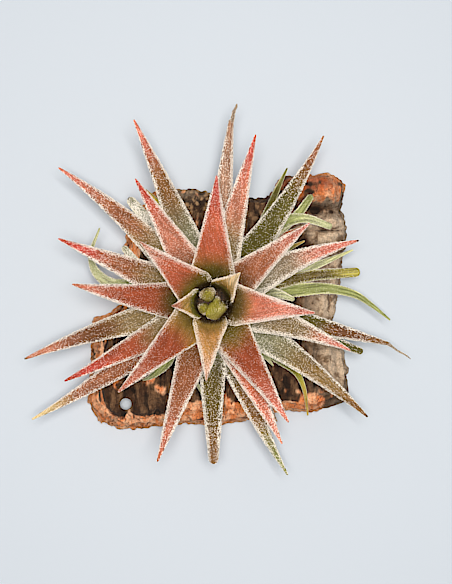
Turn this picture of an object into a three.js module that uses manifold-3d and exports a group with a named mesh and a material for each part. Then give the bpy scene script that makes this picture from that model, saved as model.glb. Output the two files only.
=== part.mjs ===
// An air plant of the stiff, thick-leaved, silver-scaled kind, fixed to a square of virgin cork bark.
// Units are millimetres, +Z is up. The origin is on the bark's flat underside, straight below the stem.
// The leaves grow on one spiral, each about 136 degrees round from the one before, youngest at the top.
import * as THREE from "three";
import { mergeVertices } from "three/addons/utils/BufferGeometryUtils.js";
import Module from "manifold-3d";

const wasm = await Module();
wasm.setup();

const GAP = 0.3; // clearance between pieces that touch
const RAD = Math.PI / 180;

// Bark: a thick square of outer bark, rough side up, with one high corner and a drilled hole.
const BARK = {
  top: 15.5, // usual height of the upper face
  cells: 24, // mesh cells along each side of the upper face
  edgeDrop: 1.7, // how far the upper face falls at its rim
  edgeWidth: 3.4,
  rows: [[0.84, 0.45], [0.62, 0.78], [0.38, 1], [0.14, 0.86]], // down the side: shares of height and flare
  footInset: 1.2, // how far the flat underside stays in from the lowest row
  sideRough: 1.3,
};
// The hole is drilled slightly askew: lean is how far it moves along X and Y for each millimetre down.
const HOLE = { x: -22.9, y: -27.0, diameter: 3.2, sides: 20, lean: [-0.069, -0.077] };

// The upper rim seen from above, one list of [x, y] for each side, each running towards +X or +Y.
const RIM = {
  bottom: [
    [-27.0, -29.6], [-24.2, -31.2], [-20.4, -30.9], [-13.6, -30.3], [-6.3, -29.8], [1, -30.2], [7.6, -29.2],
    [13.5, -28.0], [19.5, -26.0], [27, -27.0], [34.4, -24.6],
  ],
  top: [
    [-18.8, 21.5], [-13.5, 28.2], [-6, 29.2], [1, 28.4], [8, 26.8], [13.5, 26.4], [18.6, 27.4],
    [20.6, 31.6], [26, 32.4], [31, 33.2], [34.4, 31.2],
  ],
  left: [
    [-27.0, -29.6], [-30.2, -26], [-30.2, -18], [-29.6, -12], [-29.4, -6.5], [-22.6, -2.5], [-20.8, 4],
    [-20.4, 14], [-18.8, 21.5],
  ],
  right: [
    [34.4, -24.6], [35.4, -19], [33.6, -12], [31.4, -5], [32.4, 2], [33.8, 9], [34.0, 14], [34.9, 20],
    [33.4, 25], [34.4, 31.2],
  ],
};
const SIDE_GRAIN = { along: 0.45, down: 1.3 }; // how fast the side's roughness changes from point to point
const FLARE = { left: 3.0, right: 0.8, bottom: 2.8, top: 0.9 }; // how far the side stands out past the rim

// Upper face, over its usual height: [rise, x, y, half-width along x, half-width along y] for each form.
const FORMS = [
  [7.5, 27.5, 30.0, 9.5, 5.0], // high corner
  [-3.2, 25.5, 24.0, 10.5, 2.4], // crevice in front of it
  [1.6, 31.0, 20.0, 7.0, 3.2], // lump beside the crevice
  [-3.6, 36.0, 4.0, 9.0, 26.0], // fall to the right rim
  [-2.6, 22.0, -17.0, 11.0, 9.0], // hollow
  [1.8, -15.0, -23.0, 5.5, 3.0], // ridge by the hole
  [-2.4, -33.0, -12.0, 5.0, 24.0], // broken left edge
  [-2.2, -2.0, -33.0, 30.0, 4.0], // broken lower edge
];
const FURROW = { depth: 2.4, across: 2.6, along: 7.5 }; // furrows run along Y

// Stem: hidden in the leaves, it carries them all and stands in a dab of glue on the bark.
const STEM = {
  foot: 17.2,
  shoulder: 24,
  top: 30.4,
  dome: 0.5,
  footRadius: 4.4,
  shoulderRadius: 5.0,
  topRadius: 3.3,
  rows: [0.4, 0.75], // between shoulder and top
};
const GLUE = { low: 11, profile: [[8.6, 16], [7.1, 17.8], [4.3, 19]] }; // [radius, height], edge to top
const ROUND_SIDES = 20;

// Leaves from the innermost outwards: bearing in degrees anticlockwise from +X, reach from the stem's
// axis to the tip, tip height, greatest width. blunt is the share of the width left at a broken or
// rounded end, bow is how far the blade bends sideways, and dry is a withered thread past the live tip.
const ROLLED = { channel: [0.1, 0.1], thick: [0.62, 0.62] }; // a young leaf, still rolled up
const DRY_RIGHT = { bearing: 344.3, reach: 52.6, drop: 1 };
const DRY_TOP = { bearing: 82.6, reach: 50.5, drop: 0.8 };
const LEAVES = [
  { kind: "bud", bearing: 12, reach: 1.8, tip: 35.6, width: 2.8, blunt: 0.6, ...ROLLED },
  { kind: "bud", bearing: 217, reach: 2.7, tip: 36.6, width: 3.4, blunt: 0.65, ...ROLLED },
  { kind: "bud", bearing: 112, reach: 2.7, tip: 38.0, width: 4.6, blunt: 0.7, ...ROLLED },
  { kind: "bud", bearing: 316, reach: 2.6, tip: 38.0, width: 5.6, blunt: 0.6, ...ROLLED },
  { kind: "young", bearing: 184, reach: 9.3, tip: 43, width: 7.4 },
  { kind: "young", bearing: 46, reach: 10.1, tip: 44, width: 7.4 },
  { kind: "blushed", bearing: 267, reach: 18.1, tip: 54, width: 8.6 },
  { kind: "blushed", bearing: 138.5, reach: 21.8, tip: 57, width: 10.0 },
  { kind: "blushed", bearing: 355, reach: 24.5, tip: 59, width: 10.4 },
  { kind: "blushed", bearing: 224, reach: 29.6, tip: 60, width: 10.4 },
  { kind: "blushed", bearing: 87, reach: 29.8, tip: 61, width: 11.2 },
  { kind: "blushed", bearing: 303.5, reach: 33.3, tip: 58, width: 10.8 },
  { kind: "blushed", bearing: 172, reach: 32.7, tip: 57, width: 10.0, bow: 1.1 },
  { kind: "blushed", bearing: 39, reach: 30.2, tip: 55, width: 9.6 },
  { kind: "silvered", bearing: 251.5, reach: 39.7, tip: 53, width: 9.2 },
  { kind: "silvered", bearing: 121, reach: 34.5, tip: 54, width: 9.0 },
  { kind: "silvered", bearing: 341.5, reach: 35.4, tip: 50, width: 9.6, bow: 1.3 },
  { kind: "silvered", bearing: 208, reach: 39.7, tip: 50, width: 8.6, bow: 0.6 },
  { kind: "silvered", bearing: 75, reach: 42.0, tip: 50, width: 8.8 },
  { kind: "silvered", bearing: 297, reach: 38.2, tip: 47, width: 8.4 },
  { kind: "silvered", bearing: 157, reach: 40.1, tip: 47, width: 9.0 },
  { kind: "silvered", bearing: 23, reach: 39.0, tip: 47, width: 9.2, bow: 2.0 },
  { kind: "aged", bearing: 271, reach: 38.9, tip: 40, width: 7.8, blunt: 0.3 },
  { kind: "aged", bearing: 112.7, reach: 48.6, tip: 45, width: 8.5, bow: -0.6 },
  { kind: "aged", bearing: 324, reach: 48.1, tip: 39, width: 8.6, bow: 1.8 },
  { kind: "aged", bearing: 196.7, reach: 48.3, tip: 39, width: 8.2, bow: -1.7 },
  { kind: "green", bearing: 56, reach: 49.7, tip: 42, width: 8.2, bow: -2.0 },
  { kind: "silvered", bearing: 294, reach: 47.4, tip: 34, width: 7.2, bow: -1.6 },
  { kind: "aged", bearing: 138.4, reach: 50.9, tip: 37, width: 8.0, bow: -2.0 },
  { kind: "aged", bearing: 347, reach: 45.9, tip: 33, width: 7.6, bow: 0.5, dry: DRY_RIGHT },
  { kind: "aged", bearing: 213, reach: 54.1, tip: 32, width: 7.6, bow: 1.4 },
  { kind: "aged", bearing: 83.7, reach: 45.7, tip: 36, width: 7.0, dry: DRY_TOP },
  { kind: "aged", bearing: 299, reach: 34.4, tip: 31, width: 5.0 },
  { kind: "green", bearing: 342, reach: 40.0, tip: 29.5, width: 5.0, blunt: 0.35, bow: 0.6 },
];
const FINISHES = {
  bud: { color: "#979b49", roughness: 0.6 },
  young: { color: "#b1904a", roughness: 0.65 },
  blushed: { color: "#c4664b", roughness: 0.7 },
  silvered: { color: "#b17c6c", roughness: 0.75 },
  aged: { color: "#8d7a60", roughness: 0.8 },
  green: { color: "#7b7d4c", roughness: 0.75 },
  offset: { color: "#93a355", roughness: 0.7 },
  stem: { color: "#7c6a48", roughness: 0.85 },
  glue: { color: "#d9cfb0", roughness: 0.5 },
  bark: { color: "#5d3e2d", roughness: 0.95 },
};
const BLADE = {
  stations: 9, // cross-sections along a leaf
  rootShare: 0.76, // width of the clasping root, as a share of the greatest width
  shoulder: 0.22, // where the root has widened to the full width, as a share of the length
  taper: 1, // how straight the sides run to the tip: 1 is straight
  tipWidth: 0.7,
  thinnest: 0.6,
  channel: [0.3, 0.15], // hollow of the upper face at the root and further out, as shares of the width
  thick: [0.14, 0.33], // keel below it, likewise
  channelRun: 0.45, // where along the leaf they have changed
  thickRun: 0.35,
  tipCap: 0.45, // how far the end runs past the last section, as a share of its width
};
const SECTION = {
  below: [-0.72, 0, 0.72], // points across the underside, as shares of the half-width
  above: [0.5, 0, -0.5],
  edgeGrowth: 1.3,
};
const ROOTS = { top: 29.6, bottom: 23.0, spread: 0.8, budShare: 0.75 }; // where leaves leave the stem
const LEAN = { inner: 86, outer: 24, spread: 0.85 }; // how steeply leaves leave the stem, degrees
const PULL = { root: 0.36, tip: 0.3 }; // how far the root's and tip's directions carry, shares of the length
const DROOP = { angle: 14, least: 0.4 }; // how much flatter the tip runs than the leaf, degrees and share

// Offsets: young plants round the foot of the stem, each a stub with narrow leaves along the points given.
// A stub starts at start from the stem's axis.
const STUB = { start: 3.2, height: 19.3, radii: [1.6, 1.8, 2.0], sides: 10, cap: 0.1 };
const OFFSETS = {
  right: {
    stub: [12.4, 2.8],
    leaves: [
      { width: 3.9, path: [[12.1, 1.3, 20.0], [16.5, 2.6, 22.5], [22.8, 3.3, 25.5], [30.5, 3.6, 26.5],
        [37.0, 2.1, 25.6], [41.5, -0.7, 23.8], [46.4, -4.5, 21.5]] },
      { width: 3.4, blunt: 0.7, path: [[12.1, 2.8, 20.0], [17.7, 5.1, 24.0], [25.3, 6.9, 26.5],
        [37.1, 7.8, 27.0]] },
      { width: 3.0, path: [[12.6, 3.8, 20.0], [19.0, 6.4, 23.4], [28.5, 10.2, 24.5], [36.5, 13.6, 23.5]] },
      { width: 3.2, blunt: 0.4, path: [[12.6, 2.2, 20.0], [16.7, 2.4, 24.5], [20.7, 1.0, 26.5]] },
    ],
  },
  upper_right: {
    stub: [10.6, 12.2],
    leaves: [
      { width: 4.0, blunt: 0.4, path: [[11.1, 12.4, 20.0], [14.6, 16.6, 24.5], [18.6, 20.6, 27.5],
        [23.7, 21.6, 28.3], [30.4, 19.6, 27.0]] },
      { width: 3.0, blunt: 0.6, path: [[11.1, 13.2, 20.0], [16.7, 18.2, 24.0], [22.0, 22.5, 26.6],
        [25.1, 26.7, 29.6]] },
      { width: 2.6, path: [[10.0, 13.7, 20.0], [13.3, 20.7, 26.0], [16.9, 29.1, 31.0], [19.1, 33.8, 33.0]] },
      { width: 2.8, path: [[11.6, 11.6, 20.0], [17.7, 13.1, 23.4], [23.8, 15.8, 25.5]] },
      { width: 3.4, path: [[11.4, 12.0, 20.0], [16.1, 16.0, 23.6], [22.8, 19.4, 25.2]] },
    ],
  },
  lower_right: {
    stub: [11.6, -10.8],
    leaves: [
      { width: 2.6, path: [[12.1, -11.4, 19.8], [17.8, -14.9, 21.5], [21.9, -18.0, 22.3], [24.0, -22.2, 21.5],
        [25.2, -29.5, 19.0]] },
      { width: 2.2, path: [[11.3, -11.1, 20.0], [14.1, -13.9, 22.0], [15.9, -16.2, 23.0]] },
    ],
  },
  left: {
    stub: [-13.4, 4.2],
    leaves: [
      { width: 3.2, path: [[-14.0, 4.1, 20.0], [-19.9, 4.3, 22.0], [-25.8, 4.8, 23.5], [-29.8, 7.9, 24.5],
        [-31.0, 12.3, 26.0], [-28.6, 18.8, 29.0]] },
      { width: 3.4, blunt: 0.5, path: [[-14.0, 4.6, 20.0], [-17.7, 8.2, 23.4], [-22.2, 13.8, 26.0]] },
    ],
  },
  lower_left: {
    stub: [-9.8, -10.6],
    leaves: [
      { width: 3.0, path: [[-10.9, -11.1, 20.0], [-14.7, -12.9, 21.5], [-18.6, -15.2, 22.0],
        [-21.2, -18.1, 21.5]] },
      { width: 3.0, path: [[-10.4, -11.6, 20.0], [-11.6, -15.5, 21.5], [-15.5, -19.1, 21.8],
        [-17.9, -20.2, 21.0]] },
      { width: 2.6, path: [[-9.0, -11.6, 20.0], [-5.8, -16.8, 21.5], [-2.6, -23.6, 22.0]] },
    ],
  },
  upper_left: {
    stub: [-9.2, 13.6],
    leaves: [
      { width: 2.8, path: [[-9.3, 14.4, 20.0], [-12.2, 20.4, 24.6], [-13.6, 25.5, 27.6],
        [-16.6, 28.7, 29.4]] },
      { width: 3.8, blunt: 0.6, path: [[-10.3, 14.2, 20.0], [-15.3, 19.8, 24.0], [-20.5, 26.0, 27.0]] },
    ],
  },
};
const OFFSET_BLADE = { stations: 7, rootShare: 0.8, channel: [0.3, 0.24], thick: [0.3, 0.28] };

const lerp = THREE.MathUtils.lerp;
const smooth = (low, high, x) => THREE.MathUtils.smoothstep(x, low, high);
const vector = (point) => new THREE.Vector3(...point);
const UP = new THREE.Vector3(0, 0, 1);

// A closed three.js geometry as a solid.
function solidOf(geometry) {
  const bare = new THREE.BufferGeometry().setAttribute("position", geometry.getAttribute("position"));
  bare.setIndex(geometry.index);
  const merged = mergeVertices(bare, 1e-4);
  return new wasm.Manifold(
    new wasm.Mesh({
      numProp: 3,
      vertProperties: merged.getAttribute("position").array,
      triVerts: new Uint32Array(merged.index.array),
    }),
  );
}

function geometryOf(solid) {
  const mesh = solid.getMesh();
  const geometry = new THREE.BufferGeometry();
  geometry.setAttribute("position", new THREE.BufferAttribute(mesh.vertProperties, 3));
  geometry.setIndex(new THREE.BufferAttribute(mesh.triVerts, 1));
  geometry.computeVertexNormals();
  return geometry;
}

// Cutting can leave scraps: only the largest body is the piece.
function largest(solid) {
  return solid.decompose().reduce((best, body) => (body.volume() > best.volume() ? body : best));
}

// Skins equal rings of points into one closed body that ends on a point before the first and past the last.
function skin(start, rings, end) {
  const count = rings[0].length;
  const points = [start, ...rings.flat(), end];
  const at = (ring, i) => 1 + ring * count + (i % count);
  const faces = [];
  for (let i = 0; i < count; i++) {
    faces.push(0, at(0, i + 1), at(0, i));
    faces.push(points.length - 1, at(rings.length - 1, i), at(rings.length - 1, i + 1));
    for (let ring = 0; ring + 1 < rings.length; ring++) {
      faces.push(at(ring, i), at(ring, i + 1), at(ring + 1, i + 1));
      faces.push(at(ring, i), at(ring + 1, i + 1), at(ring + 1, i));
    }
  }
  const geometry = new THREE.BufferGeometry().setFromPoints(points);
  geometry.setIndex(faces);
  return solidOf(geometry);
}

// A body of turned profile points [radius, height] round the Z axis.
function turned(profile) {
  const points = profile.map(([radius, height]) => new THREE.Vector2(radius, height));
  return solidOf(new THREE.LatheGeometry(points, ROUND_SIDES).rotateX(Math.PI / 2));
}

// Blades: leaves of the plant and of its offsets.

// The width of a leaf at t, from 0 at the root to 1 at the tip.
function widthAt(leaf, t) {
  const root = lerp(leaf.rootShare ?? BLADE.rootShare, 1, smooth(0, BLADE.shoulder, t));
  const run = Math.max(0, (t - BLADE.shoulder) / (1 - BLADE.shoulder));
  const left = leaf.blunt ?? BLADE.tipWidth / leaf.width;
  return leaf.width * root * lerp(1, left, run ** BLADE.taper);
}

// How hollow the upper face is and how thick the blade is at t.
function depthAt(leaf, t) {
  const width = widthAt(leaf, t);
  const channel = leaf.channel ?? BLADE.channel;
  const thick = leaf.thick ?? BLADE.thick;
  return {
    channel: width * lerp(...channel, smooth(0, BLADE.channelRun, t)),
    thick: Math.max(BLADE.thinnest, width * lerp(...thick, smooth(0, BLADE.thickRun, t))),
  };
}

// The cross-section: hollow above, keeled below, as [sideways, upwards]. grow swells it all round.
function sectionAt(leaf, t, grow) {
  const half = widthAt(leaf, t) / 2 + grow * SECTION.edgeGrowth;
  const { channel, thick } = depthAt(leaf, t);
  const above = (u) => [u * half, channel * (u * u - 1) + grow];
  const below = (u) => [u * half, channel * (u * u - 1) - thick * Math.sqrt(1 - u * u) - grow];
  return [[-half, 0], ...SECTION.below.map(below), [half, 0], ...SECTION.above.map(above)];
}

// A blade along a curve. The blade's width lies along across, or level where across isn't given.
function bladeSolid(leaf, curve, grow, across) {
  const frameAt = (along) => {
    const level = across ?? UP.clone().cross(along);
    const side = level.clone().addScaledVector(along, -along.dot(level)).normalize();
    return { side, up: along.clone().cross(side) };
  };
  const ringAt = (point, along, t) => {
    const { side, up } = frameAt(along);
    return sectionAt(leaf, t, grow).map(([sideways, upwards]) => {
      return point.clone().addScaledVector(side, sideways).addScaledVector(up, upwards);
    });
  };
  const capAt = (point, along, t, run) => {
    const { channel, thick } = depthAt(leaf, t);
    const middle = -channel - thick / 2;
    return point.clone().addScaledVector(frameAt(along).up, middle).addScaledVector(along, run);
  };
  const stations = leaf.stations ?? BLADE.stations;
  const rings = [];
  for (let i = 0; i < stations; i++) {
    const t = i / (stations - 1);
    rings.push(ringAt(curve.getPoint(t), curve.getTangent(t), t));
  }
  const start = capAt(curve.getPoint(0), curve.getTangent(0), 0, -GAP - grow);
  let end = capAt(curve.getPoint(1), curve.getTangent(1), 1, widthAt(leaf, 1) * BLADE.tipCap + grow);
  if (leaf.dry) {
    const point = new THREE.Vector3(leaf.dry.reach, 0, leaf.tip - leaf.dry.drop);
    point.applyAxisAngle(UP, leaf.dry.bearing * RAD);
    const along = point.clone().sub(curve.getPoint(1)).normalize();
    rings.push(ringAt(curve.getPoint(1).lerp(point, 0.5), along, 1));
    end = point;
  }
  return skin(start, rings, end);
}

// A leaf's line: where it leaves the stem, how it rises and where it ends.
function lineOf(leaf, order) {
  const age = order / (LEAVES.length - 1);
  const rootHeight = lerp(ROOTS.top, ROOTS.bottom, age ** ROOTS.spread);
  const clasp = stemRadius(rootHeight) - depthAt(leaf, 0).channel + GAP;
  const start = new THREE.Vector3(Math.min(clasp, leaf.reach * ROOTS.budShare), 0, rootHeight);
  const tip = new THREE.Vector3(leaf.reach, 0, leaf.tip);
  const chord = tip.clone().sub(start);
  const length = chord.length();
  const rise = Math.atan2(chord.z, chord.x) / RAD;
  const lean = Math.max(rise, lerp(LEAN.inner, LEAN.outer, age ** LEAN.spread)) * RAD;
  const fall = Math.max(rise - DROOP.angle, rise * DROOP.least) * RAD;
  const away = new THREE.Vector3(Math.cos(lean), 0, Math.sin(lean)).multiplyScalar(length * PULL.root);
  const back = new THREE.Vector3(Math.cos(fall), 0, Math.sin(fall)).multiplyScalar(-length * PULL.tip);
  const bow = new THREE.Vector3(0, leaf.bow ?? 0, 0);
  const points = [start, start.clone().add(away).add(bow), tip.clone().add(back).add(bow), tip];
  return new THREE.CubicBezierCurve3(...points.map((point) => point.applyAxisAngle(UP, leaf.bearing * RAD)));
}

function leafSolid(leaf, order, grow = 0) {
  const across = new THREE.Vector3(0, 1, 0).applyAxisAngle(UP, leaf.bearing * RAD);
  return bladeSolid(leaf, lineOf(leaf, order), grow, across);
}

// An offset: its stub and leaves joined.
function offsetSolid(offset, grow = 0) {
  const end = new THREE.Vector3(...offset.stub, STUB.height);
  const start = end.clone().setZ(0).setLength(STUB.start).setZ(STUB.height);
  const line = new THREE.LineCurve3(start, end);
  const level = UP.clone().cross(line.getTangent(0)).normalize();
  const rings = STUB.radii.map((radius, i) => {
    const centre = line.getPoint(i / (STUB.radii.length - 1));
    return Array.from({ length: STUB.sides }, (_, side) => {
      const turn = (2 * Math.PI * side) / STUB.sides;
      const [sideways, upwards] = [Math.cos(turn), Math.sin(turn)].map((share) => share * (radius + grow));
      return centre.clone().addScaledVector(level, sideways).addScaledVector(UP, upwards);
    });
  });
  const stub = skin(line.getPoint(-STUB.cap), rings, line.getPoint(1 + STUB.cap));
  const blades = offset.leaves.map((leaf) => {
    const curve = new THREE.CatmullRomCurve3(leaf.path.map(vector), false, "centripetal");
    return bladeSolid({ ...OFFSET_BLADE, ...leaf }, curve, grow);
  });
  return wasm.Manifold.union([stub, ...blades]);
}

// Stem and glue.
function stemRadius(height) {
  const low = lerp(STEM.footRadius, STEM.shoulderRadius, smooth(STEM.foot, STEM.shoulder, height));
  return lerp(low, STEM.topRadius, smooth(STEM.shoulder, STEM.top, height));
}

function stemSolid(grow = 0) {
  const { foot, shoulder, top, dome } = STEM;
  const upper = STEM.rows.map((share) => lerp(shoulder, top, share));
  const heights = [foot, (foot + shoulder) / 2, shoulder, ...upper, top];
  const profile = heights.map((height) => [stemRadius(height) + grow, height]);
  profile[0][1] -= grow;
  profile.at(-1)[1] += grow;
  return turned([[0, foot - grow], ...profile, [0, top + grow + dome]]);
}

function glueSolid() {
  const { low, profile } = GLUE;
  return turned([[0, low], [profile[0][0], low], ...profile, [0, profile.at(-1)[1]]]);
}

// Bark.

// A fixed, repeatable roughness from 0 to 1 that changes smoothly over x and y.
function roughness(x, y) {
  const corner = (i, j) => {
    const value = Math.sin(i * 127.1 + j * 311.7) * 43758.5453;
    return value - Math.floor(value);
  };
  const [i, j] = [Math.floor(x), Math.floor(y)];
  const [s, t] = [smooth(0, 1, x - i), smooth(0, 1, y - j)];
  return lerp(lerp(corner(i, j), corner(i + 1, j), s), lerp(corner(i, j + 1), corner(i + 1, j + 1), s), t);
}

function barkHeight(x, y) {
  let height = BARK.top;
  for (const [rise, cx, cy, rx, ry] of FORMS) {
    height += rise * Math.exp(-(((x - cx) / rx) ** 2) - ((y - cy) / ry) ** 2);
  }
  const furrow = roughness(x / FURROW.across, y / FURROW.along) - 0.5;
  return height + FURROW.depth * furrow;
}

// The point at share s along a list of points.
function pointAlong(points, s) {
  const place = s * (points.length - 1);
  const i = Math.min(points.length - 2, Math.floor(place));
  return [0, 1].map((axis) => lerp(points[i][axis], points[i + 1][axis], place - i));
}

// The upper face's point at shares u and v, spanned between the four sides of the rim.
function faceAt(u, v) {
  const [bottom, top] = [pointAlong(RIM.bottom, u), pointAlong(RIM.top, u)];
  const [left, right] = [pointAlong(RIM.left, v), pointAlong(RIM.right, v)];
  const corners = [RIM.bottom[0], RIM.bottom.at(-1), RIM.top[0], RIM.top.at(-1)];
  return [0, 1].map((axis) => {
    const [a, b, c, d] = corners.map((corner) => corner[axis]);
    const flat = lerp(lerp(a, b, u), lerp(c, d, u), v);
    return lerp(bottom[axis], top[axis], v) + lerp(left[axis], right[axis], u) - flat;
  });
}

// The drill's path: a cylinder through the bark that leans outwards on its way down.
function drillSolid() {
  const depth = BARK.top * 2;
  const radius = HOLE.diameter / 2;
  const drill = new THREE.CylinderGeometry(radius, radius, depth, HOLE.sides).rotateX(Math.PI / 2);
  const shear = new THREE.Matrix4().makeShear(0, 0, 0, 0, -HOLE.lean[0], -HOLE.lean[1]);
  return solidOf(drill.applyMatrix4(shear).translate(HOLE.x, HOLE.y, BARK.top - 2));
}

// The upper face's grid, and the numbers of its points in rows along X.
function barkFace() {
  const n = BARK.cells;
  const span = RIM.right[0][0] - RIM.left[0][0];
  const points = [];
  const faces = [];
  const at = (i, j) => j * (n + 1) + i;
  for (let j = 0; j <= n; j++) {
    for (let i = 0; i <= n; i++) {
      const [x, y] = faceAt(i / n, j / n);
      const inward = (Math.min(i, j, n - i, n - j) / n) * span;
      const drop = BARK.edgeDrop * (1 - smooth(0, BARK.edgeWidth, inward));
      points.push(new THREE.Vector3(x, y, barkHeight(x, y) - drop));
      if (i === n || j === n) continue;
      faces.push(at(i, j), at(i + 1, j), at(i + 1, j + 1), at(i, j), at(i + 1, j + 1), at(i, j + 1));
    }
  }
  const steps = Array.from({ length: n }, (_, k) => k);
  const rim = [
    ...steps.map((k) => at(k, 0)),
    ...steps.map((k) => at(n, k)),
    ...steps.map((k) => at(n - k, n)),
    ...steps.map((k) => at(0, n - k)),
  ];
  return { points, faces, rim };
}

// How far the side stands out past the rim where it faces along x and y.
function flareAt({ x, y }) {
  return Math.abs(x) * (x > 0 ? FLARE.right : FLARE.left) + Math.abs(y) * (y > 0 ? FLARE.top : FLARE.bottom);
}

function barkSolid() {
  const { points, faces, rim } = barkFace();
  const count = rim.length;
  const edge = rim.map((index) => points[index]);
  const outward = edge.map((_, k) => {
    const along = edge[(k + 2) % count].clone().sub(edge[(k + count - 2) % count]).setZ(0).normalize();
    return new THREE.Vector3(along.y, -along.x, 0);
  });
  // The side goes down in rows of points, each joined to the one above it.
  const rows = BARK.rows.map(([height, out]) => ({ height, out, inset: 0 }));
  rows.push({ height: 0, out: BARK.rows.at(-1)[1], inset: BARK.footInset });
  let above = rim;
  rows.forEach(({ height, out, inset }, row) => {
    const below = edge.map((point, k) => {
      const rough = BARK.sideRough * (roughness(k * SIDE_GRAIN.along, row * SIDE_GRAIN.down) - 0.5);
      const reach = flareAt(outward[k]) * out + rough - inset;
      return points.push(point.clone().addScaledVector(outward[k], reach).setZ(point.z * height)) - 1;
    });
    above.forEach((corner, k) => {
      const next = (k + 1) % count;
      faces.push(corner, below[k], below[next], corner, below[next], above[next]);
    });
    above = below;
  });
  const middle = points.push(new THREE.Vector3(0, 0, 0)) - 1;
  above.forEach((corner, k) => faces.push(middle, above[(k + 1) % count], corner));
  const geometry = new THREE.BufferGeometry().setFromPoints(points);
  geometry.setIndex(faces);
  return solidOf(geometry).subtract(drillSolid());
}

// Pieces.
const root = new THREE.Group();
function addPiece(name, solid, finish) {
  const material = new THREE.MeshStandardMaterial({ ...finish, metalness: 0 });
  const mesh = new THREE.Mesh(geometryOf(largest(solid)), material);
  mesh.name = name;
  root.add(mesh);
}

// Leaves: each is cut clear of the stem and of the leaves inside it, which it clasps.
const grownStem = stemSolid(GAP);
const grownLeaves = [];
LEAVES.forEach((leaf, order) => {
  const solid = wasm.Manifold.difference([leafSolid(leaf, order), grownStem, ...grownLeaves]);
  grownLeaves.push(leafSolid(leaf, order, GAP));
  addPiece("leaf_" + String(order + 1).padStart(2, "0"), solid, FINISHES[leaf.kind]);
});
addPiece("stem", stemSolid(), FINISHES.stem);

const bark = barkSolid();
const barkBelow = bark.translate(0, 0, GAP);
const clearOf = [grownStem, barkBelow, ...grownLeaves];
const grownOffsets = [];
for (const [name, offset] of Object.entries(OFFSETS)) {
  const solid = wasm.Manifold.difference([offsetSolid(offset), ...clearOf, ...grownOffsets]);
  grownOffsets.push(offsetSolid(offset, GAP));
  addPiece("offset_" + name, solid, FINISHES.offset);
}
const glue = wasm.Manifold.difference([glueSolid(), barkBelow, grownStem, ...grownOffsets]);
addPiece("fixing_glue", glue, FINISHES.glue);
addPiece("cork_bark", bark, FINISHES.bark);

export default root;
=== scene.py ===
# A silvery air plant fixed to a square of virgin cork bark: its looks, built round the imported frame.
# Lengths in the dictionaries are millimetres, and meshes are made in metres. A share runs from 0 to 1.
import math
import bpy
import numpy as np
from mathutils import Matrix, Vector


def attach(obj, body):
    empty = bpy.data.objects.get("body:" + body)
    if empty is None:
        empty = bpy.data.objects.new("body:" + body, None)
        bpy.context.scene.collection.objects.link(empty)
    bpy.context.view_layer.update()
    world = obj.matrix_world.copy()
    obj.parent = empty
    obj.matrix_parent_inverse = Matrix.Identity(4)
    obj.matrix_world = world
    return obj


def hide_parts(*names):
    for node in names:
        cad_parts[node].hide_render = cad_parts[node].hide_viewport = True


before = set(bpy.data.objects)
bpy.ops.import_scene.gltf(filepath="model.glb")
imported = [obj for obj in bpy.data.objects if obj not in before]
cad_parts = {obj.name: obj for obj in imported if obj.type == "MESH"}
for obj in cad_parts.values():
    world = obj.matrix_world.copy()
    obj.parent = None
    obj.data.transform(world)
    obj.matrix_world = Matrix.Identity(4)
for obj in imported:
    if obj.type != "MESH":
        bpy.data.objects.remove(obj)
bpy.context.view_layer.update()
mm = 0.001
print("frame loaded,", len(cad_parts), "nodes")


# Small helpers
def smooth(low, high, x):
    t = np.clip((np.asarray(x, dtype=float) - low) / (high - low), 0, 1)
    return t * t * (3 - 2 * t)


def mix(a, b, t):
    return a + (b - a) * t


def hexColour(text):  # sRGB hex to linear
    parts = [int(text[i:i + 2], 16) / 255 for i in (1, 3, 5)]
    return [c / 12.92 if c <= 0.04045 else ((c + 0.055) / 1.055) ** 2.4 for c in parts] + [1.0]


def unit(v):
    return v / np.maximum(np.linalg.norm(v, axis=-1, keepdims=True), 1e-12)


def cornerValue(i, j):  # one fixed number from 0 to 1 for each grid corner: any large uneven factors do
    value = np.sin(i * 127.1 + j * 311.7) * 43758.5453
    return value - np.floor(value)


def roughness(x, y):  # smooth and repeatable, 0 to 1
    i, j = np.floor(x), np.floor(y)
    s, t = smooth(0, 1, x - i), smooth(0, 1, y - j)
    low = mix(cornerValue(i, j), cornerValue(i + 1, j), s)
    return mix(low, mix(cornerValue(i, j + 1), cornerValue(i + 1, j + 1), s), t)


def fractal(x, y, octaves=3):  # finer and finer roughness, each layer shifted against the last
    total, weight = 0, 0
    for k in range(octaves):
        total = total + roughness(x * 2 ** k + 17.3 * k, y * 2 ** k - 9.1 * k) / 2 ** k
        weight += 1 / 2 ** k
    return total / weight


def cracks(x, y):  # 0 on the lines between irregular cells about 1 across, rising towards their middles
    i, j = np.floor(x), np.floor(y)
    nearest = np.full(x.shape, 9.0)
    second = np.full(x.shape, 9.0)
    for di in (-1, 0, 1):
        for dj in (-1, 0, 1):
            px = i + di + cornerValue(i + di, j + dj)
            py = j + dj + cornerValue(j + dj + 40, i + di)
            d = np.hypot(px - x, py - y)
            second = np.minimum(second, np.maximum(nearest, d))
            nearest = np.minimum(nearest, d)
    return second - nearest


attributeKinds = {1: ("FLOAT", "value"), 3: ("FLOAT_VECTOR", "vector"), 4: ("FLOAT_COLOR", "color")}


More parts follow.
